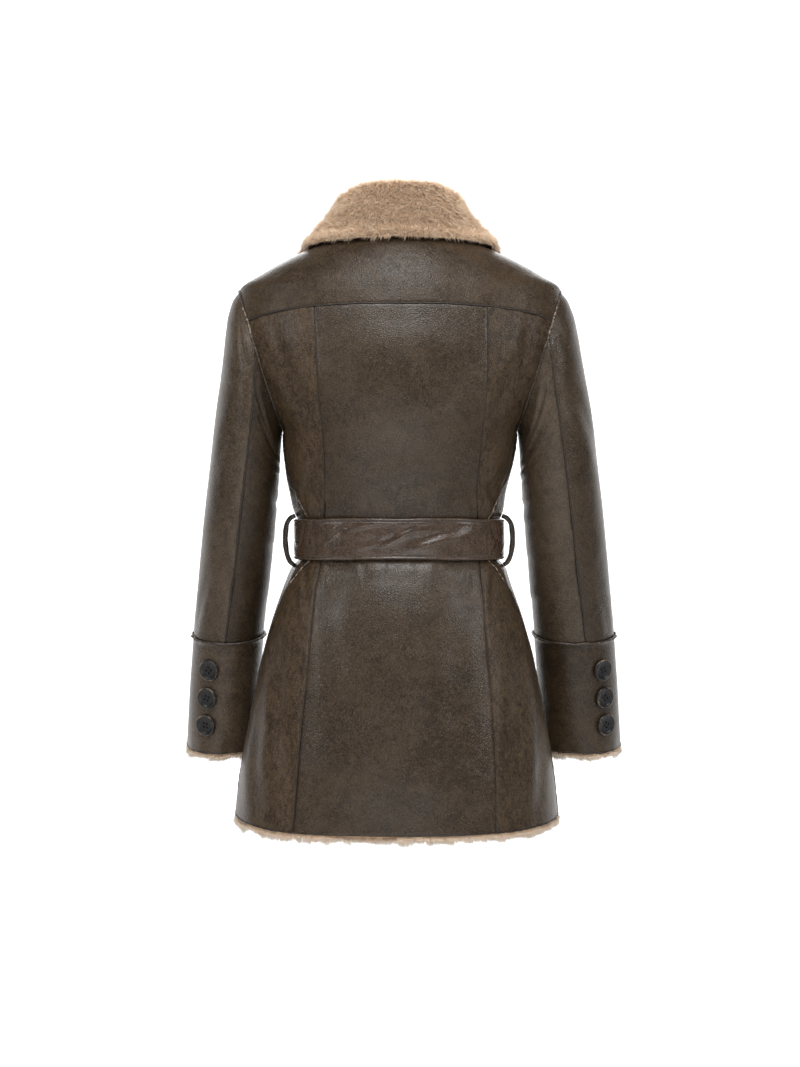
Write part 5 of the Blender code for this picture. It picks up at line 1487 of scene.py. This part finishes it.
def belt():
    ends = np.linspace(-1 + BELT_OPEN, 1 - BELT_OPEN, BELT_COLUMNS)[None, :]
    down = np.array([*BELT_HALF, 0.5, *(1 - share for share in reversed(BELT_HALF))])[:, None]
    place, out, s = belt_face(down, ends)
    height = (0.5 - down) * BELT_WIDTH + 0 * s
    edge = np.minimum(down, 1 - down)
    rounded = 1 - np.sqrt(np.clip(1 - (1 - np.clip(edge / BELT_ROUND, 0, 1)) ** 2, 0, 1))
    groove = GROOVE * np.exp(-(((edge * BELT_WIDTH - STITCH_FROM_EDGE) / GROOVE_WIDTH) ** 2))
    puff = PUFF * np.exp(-(((edge * BELT_WIDTH - PUFF_FROM_EDGE) / PUFF_WIDTH) ** 2))
    dent = 0.95 * crease(height, s, BELT_CREASES) * np.clip(edge / 0.12, 0.25, 1)
    dent = dent + 0.7 * swell(height * 1.6, s, 171)
    thick = BELT_THICK - rounded * BELT_THICK * 0.42 - groove + puff - np.clip(dent, -0.0020, 0.0019)
    wavy = 0.0009 * lumps(s, height, 0.034, 173) * (1 - 2 * down)
    outer = place + out * thick[..., None]
    inner = place + out * (rounded * BELT_THICK * 0.40)[..., None]
    for grid in (outer, inner):
        grid[..., 2] += wavy * (edge < 0.2)
    band = shell("belt_band", outer, inner, LEATHERS["belt"], "leather")
    made = [stitches("belt_stitches", outer, down[:, 0])]
    flat = float(s.max() - s.min()), BELT_WIDTH
    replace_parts(band, "belt")


def stitches(name, outer, down):
    """Two rows of short thread stitches, each a little capsule pressed into the leather."""
    rings = ((0.0, 0.35, 0.0), (0.25, 1.0, 0.6), (0.75, 1.0, 0.6), (1.0, 0.35, 0.0))  # place, size, rise
    points, faces = [], []
    for share in (STITCH_FROM_EDGE / BELT_WIDTH, 1 - STITCH_FROM_EDGE / BELT_WIDTH):
        line = np.stack([read_line(outer[:, j], down, share) for j in range(outer.shape[1])])
        walked = walk(line)
        for at in np.arange(0.004, walked[-1] - 0.006, STITCH_PITCH):
            a, b = (read_line(line, walked, place) for place in (at, at + STITCH_LONG))
            out = unit(np.array([a[0] - body("lean", BELT_MIDDLE), a[1], 0]))
            up = np.cross(unit(b - a), out)
            faces += [[len(points) + k for k in face] for face in tube_faces(len(rings), 6)]
            for t, size, rise in rings:
                middle = a + (b - a) * t + out * rise * STITCH_WIDE * 0.5
                points += six_places(middle, up, out, STITCH_WIDE / 2 * size)
    return make(name, np.array(points), faces, STITCH, "leather", mend=True)


def strap(name, centres, widths, thicks, outs, finish, steps, square):
    """A strap swept along a line: a squared oval section, width across, thickness along out."""
    centres, outs = np.asarray(centres, float), np.asarray(outs, float)
    along = unit(np.gradient(centres, axis=0))
    outs = unit(outs - along * np.sum(outs * along, axis=1, keepdims=True))
    across = np.cross(along, outs)
    turn = np.arange(steps) * 2 * math.pi / steps
    c = np.sign(np.cos(turn)) * np.abs(np.cos(turn)) ** square
    s = np.sign(np.sin(turn)) * np.abs(np.sin(turn)) ** square
    widths, thicks = np.asarray(widths, float), np.asarray(thicks, float)
    points = (
        centres[:, None]
        + across[:, None] * (c[None] * widths[:, None] / 2)[..., None]
        + outs[:, None] * (s[None] * thicks[:, None] / 2)[..., None]
    )
    return make(name, points.reshape(-1, 3), tube_faces(len(centres), steps), finish, "leather", mend=True)


LOOP_FAR, LOOP_WIDTH, LOOP_THICK = 0.1418, 0.0100, 0.0066
LOOP_ABOVE, LOOP_BELOW = 0.0045, 0.0065  # where its ends are sewn on, from the belt's edges
LOOP_FOOT, LOOP_RISE = 0.0006, 0.006  # how far its ends start off the cloth, and how far they first stand out


def belt_loop(side):
    """A folded strap sewn on above and below the belt, standing off it in a slim bow."""
    sign = SIDES[side]
    z = np.array([BELT_TOP + LOOP_ABOVE, BELT_BOTTOM - LOOP_BELOW])
    feet, outs = torso(z, 0.985 * s_of_side(z), sign)
    outs = unit(outs * (1, 0, 0.8))
    (high, low), (high_out, low_out) = feet + outs * LOOP_FOOT, outs
    y = (high[1] + low[1]) / 2
    far = sign * LOOP_FAR + float(body("lean", BELT_MIDDLE))
    knots = np.array([
        high, high + high_out * LOOP_RISE, (far - sign * 0.0014, y, BELT_TOP - 0.008), (far, y, BELT_MIDDLE),
        (far - sign * 0.0016, y, BELT_BOTTOM + 0.009), low + low_out * LOOP_RISE, low,
    ])
    line = resample(knots, 60)
    along = unit(np.gradient(line, axis=0))
    share = np.linspace(0, 1, 60)
    thick = LOOP_THICK * (0.80 + 0.20 * np.sin(math.pi * share)) * (1 + 0.05 * np.sin(share * 23))
    away = np.cross(along, (0, 1, 0)) * -sign
    wide = LOOP_WIDTH + 0 * share
    carrier = strap("belt_carrier_" + side, line, wide, thick, away, LEATHERS["strap"], 20, 0.42)
    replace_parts(carrier, "belt_loop_" + side)


TIE_X = 0.004
KNOT_HEIGHT, KNOT_WIDTH, KNOT_THICK = 0.050, 0.034, 0.020
TAILS = ((1, 0.285), (-1, 0.235))
TAIL_WIDTH, TAIL_HALF_THICK = 0.046, 0.0019
TAIL_START, TAIL_SPREAD = 0.006, 0.20  # beside and below the knot's middle, and how far the tails spread


def belt_tie():
    """The knot, wrapped once round itself, and the belt's two hanging ends."""
    place, out, _ = belt_face(np.array([0.5]), np.array([1.0]))
    middle, out = place[0], out[0]
    knot_at = middle + out * (BELT_THICK + SEAM_GAP + KNOT_THICK / 2) + np.array([TIE_X, 0, 0])
    rise = np.linspace(-0.5, 0.5, 60)
    bulge = np.sqrt(np.clip(1 - (1.86 * rise) ** 2, 0.02, 1))
    ribs = 0.05 * np.sin(rise * 34)
    knot = strap(
        "tie_knot",
        knot_at + rise[:, None] * (0.05 * KNOT_WIDTH, 0, KNOT_HEIGHT),
        KNOT_WIDTH * (0.55 + 0.45 * bulge) * (1 + ribs),
        KNOT_THICK * (0.45 + 0.55 * bulge) * (1 + ribs),
        [out] * len(rise),
        LEATHERS["belt"], 40, 0.62,
    )
    rows = np.linspace(0, 1, 90)[:, None]
    across = np.linspace(-0.5, 0.5, 15)[None, :]
    for k, (sign, long) in enumerate(TAILS):
        drop = rows * long
        z = knot_at[2] - TAIL_START - drop
        wide = TAIL_WIDTH * (0.55 + 0.45 * ramp(0, 0.09, drop))
        place, away = torso(z, s_of_x(z, TIE_X + sign * (TAIL_START + TAIL_SPREAD * drop), "front"))
        stand = 0.0075 + 0.006 * k + 0.011 * np.exp(-drop / 0.05)
        side_way = unit(np.cross(away, (0, 0, 1.0)))
        side_way = side_way * np.sign(side_way[..., :1])
        pleat = 0.0016 * np.cos(across * 14) * np.exp(-drop / 0.06)
        middle = place + side_way * (across * wide)[..., None] + away * (stand + pleat)[..., None]
        edge = np.exp(-(((0.5 - np.abs(across)) * wide / 0.0012) ** 2))
        half = away * (TAIL_HALF_THICK - 0.0009 * edge)[..., None]
        faces = middle + half, middle - half
        tail = shell(f"tie_tail_{k + 1}", *faces, LEATHERS["belt"], "leather", mend=True)
    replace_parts(knot, "belt_tie")


# ---------------------------------------------------------------- buttons
BUTTON_BACK = 0.62  # of the button's radius
BUTTON_STEPS = (  # share of the radius and of the thickness, from the back round the rim into the dish
    (0.90, 0.12), (1.00, 0.40), (0.99, 0.66), (0.94, 0.90), (0.88, 1.00), (0.80, 0.97), (0.73, 0.80),
    (0.66, 0.60), (0.52, 0.55),
)
BUTTON_SPIN = {"left": 31, "right": 8}
HOLE_OUT, HOLE_RADIUS = 0.0033, 0.00135
HOLES = [(HOLE_OUT * math.cos(turn), HOLE_OUT * math.sin(turn)) for turn in np.radians((45, 135, 225, 315))]
THREAD_RADIUS = 0.00038


def turned_button():
    """A four-hole button lying on the XY plane, face up: a dished middle inside a rounded rim."""
    for obj in bpy.context.selected_objects:
        obj.select_set(False)
    bpy.ops.mesh.primitive_circle_add(vertices=48, radius=BUTTON_RADIUS * BUTTON_BACK, fill_type="NGON")
    obj = bpy.context.object
    obj.name = "button"
    bpy.ops.object.mode_set(mode="EDIT")
    bpy.ops.mesh.select_mode(type="FACE")
    bpy.ops.mesh.select_all(action="SELECT")
    size, high = BUTTON_BACK, 0.0
    for wide, rise in BUTTON_STEPS:
        up = 0, 0, (rise - high) * BUTTON_THICK
        bpy.ops.mesh.extrude_region_move(TRANSFORM_OT_translate={"value": up})
        bpy.ops.transform.resize(value=(wide / size, wide / size, 1))
        size, high = wide, rise
    bpy.ops.object.mode_set(mode="OBJECT")
    turn_outwards(obj.data, fill=True)
    for x, y in HOLES:
        at = x, y, BUTTON_THICK * 0.5
        deep = BUTTON_THICK * 1.6
        bpy.ops.mesh.primitive_cylinder_add(vertices=16, radius=HOLE_RADIUS, depth=deep, location=at)
        drill = bpy.context.object
        drill.name = "drill"
        bpy.context.view_layer.objects.active = obj
        cut = obj.modifiers.new("hole", "BOOLEAN")
        cut.operation, cut.object, cut.solver = "DIFFERENCE", drill, "EXACT"
        bpy.ops.object.modifier_apply(modifier=cut.name)
        bpy.data.objects.remove(drill)
    layer = obj.data.uv_layers[0] if obj.data.uv_layers else obj.data.uv_layers.new()
    layer.name = UV_NAME
    for loop in obj.data.loops:
        x, y, z = obj.data.vertices[loop.vertex_index].co
        far = math.hypot(x, y) / BUTTON_RADIUS
        rim = max(0.0, 1 - abs(far - 0.92) / 0.10) * (z > BUTTON_THICK * 0.5)
        layer.data[loop.index].uv = (far, rim)
    obj.data.materials.clear()
    obj.data.materials.append(HORN)
    obj.data.shade_smooth()
    obj.data.set_sharp_from_angle(angle=math.radians(38))
    return obj


def button_thread():
    """Crossed thread between the four holes, its second run over its first."""
    up = np.array([0, 0, 1.0])
    shares = np.linspace(0, 1, 9)
    points, faces = [], []
    for first, bulge in ((0, 0.14), (1, 0.19)):
        start, end = (np.array([*HOLES[k], 0]) for k in (first, first + 2))
        side = np.cross(up, unit(end - start))
        faces += [[len(points) + k for k in face] for face in tube_faces(len(shares), 6)]
        for share in shares:
            lift = 0.50 + bulge * math.sin(math.pi * share) - (0.3 if share in (0.0, 1.0) else 0.0)
            middle = start * (1 - share) + end * share + up * lift * BUTTON_THICK
            points += six_places(middle, side, up, THREAD_RADIUS)
    return np.array(points), faces


def buttons():
    pattern = turned_button()
    thread_points, thread_faces = button_thread()
    for side in SIDES:
        rows = np.linspace(CUFF_ROW, LAST_ROW, 200)
        turn = 90.0 - BUTTON_TURN - SLEEVE_TURN[side]
        heights = sleeve_point(rows, turn, side)[:, 2]
        for number, height in enumerate(BUTTON_HEIGHTS, 1):
            node = f"cuff_button_{side}_{number}"
            row = np.array([np.interp(-height, -heights, rows)])
            place, out = sleeve_point(row, turn, side)[0], sleeve_out(row, turn, side)[0]
            across = unit(np.cross((0, 0, 1.0), out))
            up = np.cross(out, across)
            middle = (np.array(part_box(node)[0]) + np.array(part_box(node)[1])) / 2
            seat = place + out * ((middle - place) @ out - BUTTON_THICK / 2)
            spin = math.radians((17 * number + BUTTON_SPIN[side]) % 90)
            c, s = math.cos(spin), math.sin(spin)
            axes = np.array([across * c + up * s, up * c - across * s, out])
            copy = bpy.data.objects.new(node + "_turned", pattern.data.copy())
            copy.data.transform(Matrix.Translation(seat) @ Matrix(axes.T.tolist()).to_4x4())
            bpy.context.scene.collection.objects.link(copy)
            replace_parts(belongs(copy), node)
            points = seat + thread_points @ axes
            make(node + "_thread", points, thread_faces, THREAD, "button_horn", mend=True)
    bpy.data.objects.remove(pattern)


# ---------------------------------------------------------------- studio
CAMERA_FAR, CAMERA_Z = 2.4, -0.37
SENSOR, LENS = 36, 36 * 1920 / 1067  # in millimetres
FLOOR_Z, WALL_TOP, FLOOR_HALF = -1.30, 3.2, 6.0
FLOOR_NEAR, BEND_AT, BEND = 5.0, -2.2, 1.2  # the floor's near edge, where it curves up, the curve's radius
LIGHTS = (  # name, place, aimed at, width, height, power
    ("overhead", (0.0, 1.40, 1.95), (0, 0.08, -0.15), 0.8, 0.6, 32),
    ("high_key", (0.0, 2.3, 1.9), (0, 0.05, -0.40), 1.5, 0.5, 26),
    ("left_strip", (2.0, 1.6, 0.85), (0.1, 0, -0.20), 0.5, 1.4, 18),
    ("right_strip", (-2.0, 1.6, 0.85), (-0.1, 0, -0.20), 0.4, 1.4, 21),
    ("low_fill", (0.0, 2.6, -0.9), (0, 0, -0.45), 2.2, 0.4, 13),
    ("front_fill", (0.0, -2.0, 1.2), (0, 0, -0.35), 1.6, 1.2, 22),
)


def studio():
    camera = bpy.data.objects.new("camera", bpy.data.cameras.new("camera"))
    camera.data.lens = LENS
    camera.data.sensor_width = SENSOR
    camera.location = (0, CAMERA_FAR, CAMERA_Z)
    camera.rotation_euler = (math.pi / 2, 0, math.pi)
    bpy.context.scene.collection.objects.link(camera)
    bpy.context.scene.camera = camera

    cyclorama()
    world = bpy.data.worlds.new("studio_air")
    bpy.context.scene.world = world
    world.use_nodes = True
    background = world.node_tree.nodes["Background"].inputs
    background["Color"].default_value, background["Strength"].default_value = (1, 1, 1, 1), 0.19
    bpy.context.scene.view_settings.view_transform = "Standard"

    for name, place, aim, wide, high, power in LIGHTS:
        data = bpy.data.lights.new(name, "AREA")
        data.shape, data.size, data.size_y, data.energy = "RECTANGLE", wide, high, power
        lamp = bpy.data.objects.new(name, data)
        lamp.location = place
        lamp.rotation_euler = (Vector(aim) - Vector(place)).to_track_quat("-Z", "Y").to_euler()
        bpy.context.scene.collection.objects.link(lamp)


def cyclorama():
    """A pale floor that curves up into a wall behind the coat."""
    profile = [(FLOOR_NEAR, FLOOR_Z), (BEND_AT, FLOOR_Z)]
    for turn in np.radians(np.linspace(0, 90, 13)):
        profile.append((BEND_AT - BEND * math.sin(turn), FLOOR_Z + BEND * (1 - math.cos(turn))))
    profile.append((BEND_AT - BEND, WALL_TOP))
    points = [(x, y, z) for y, z in profile for x in (-FLOOR_HALF, FLOOR_HALF)]
    faces = [[2 * k, 2 * k + 1, 2 * k + 3, 2 * k + 2] for k in range(len(profile) - 1)]
    p = Paint("studio_white")
    far = p.along("Y", p.place).step(-0.3, -1.0)
    glow = p.mix(far, (0, 0, 0), (1, 1, 1))
    pale = 0.85, 0.85, 0.85
    white = p.finish(base_color=pale, roughness=0.9, emission_color=glow, emission_strength=0.85)
    make("studio_floor", np.array(points), faces, white)


# ---------------------------------------------------------------- the coat
def main():
    studio()
    back_yoke()
    back_centre()
    for side in SIDES:
        back_side(side)
        front(side)
        sleeves(side)
        cuff(side)
        cuff_pile(side)
        lapel(side)
        belt_loop(side)
    hem_pile()
    collar()
    seams()
    belt()
    belt_tie()
    buttons()


main()
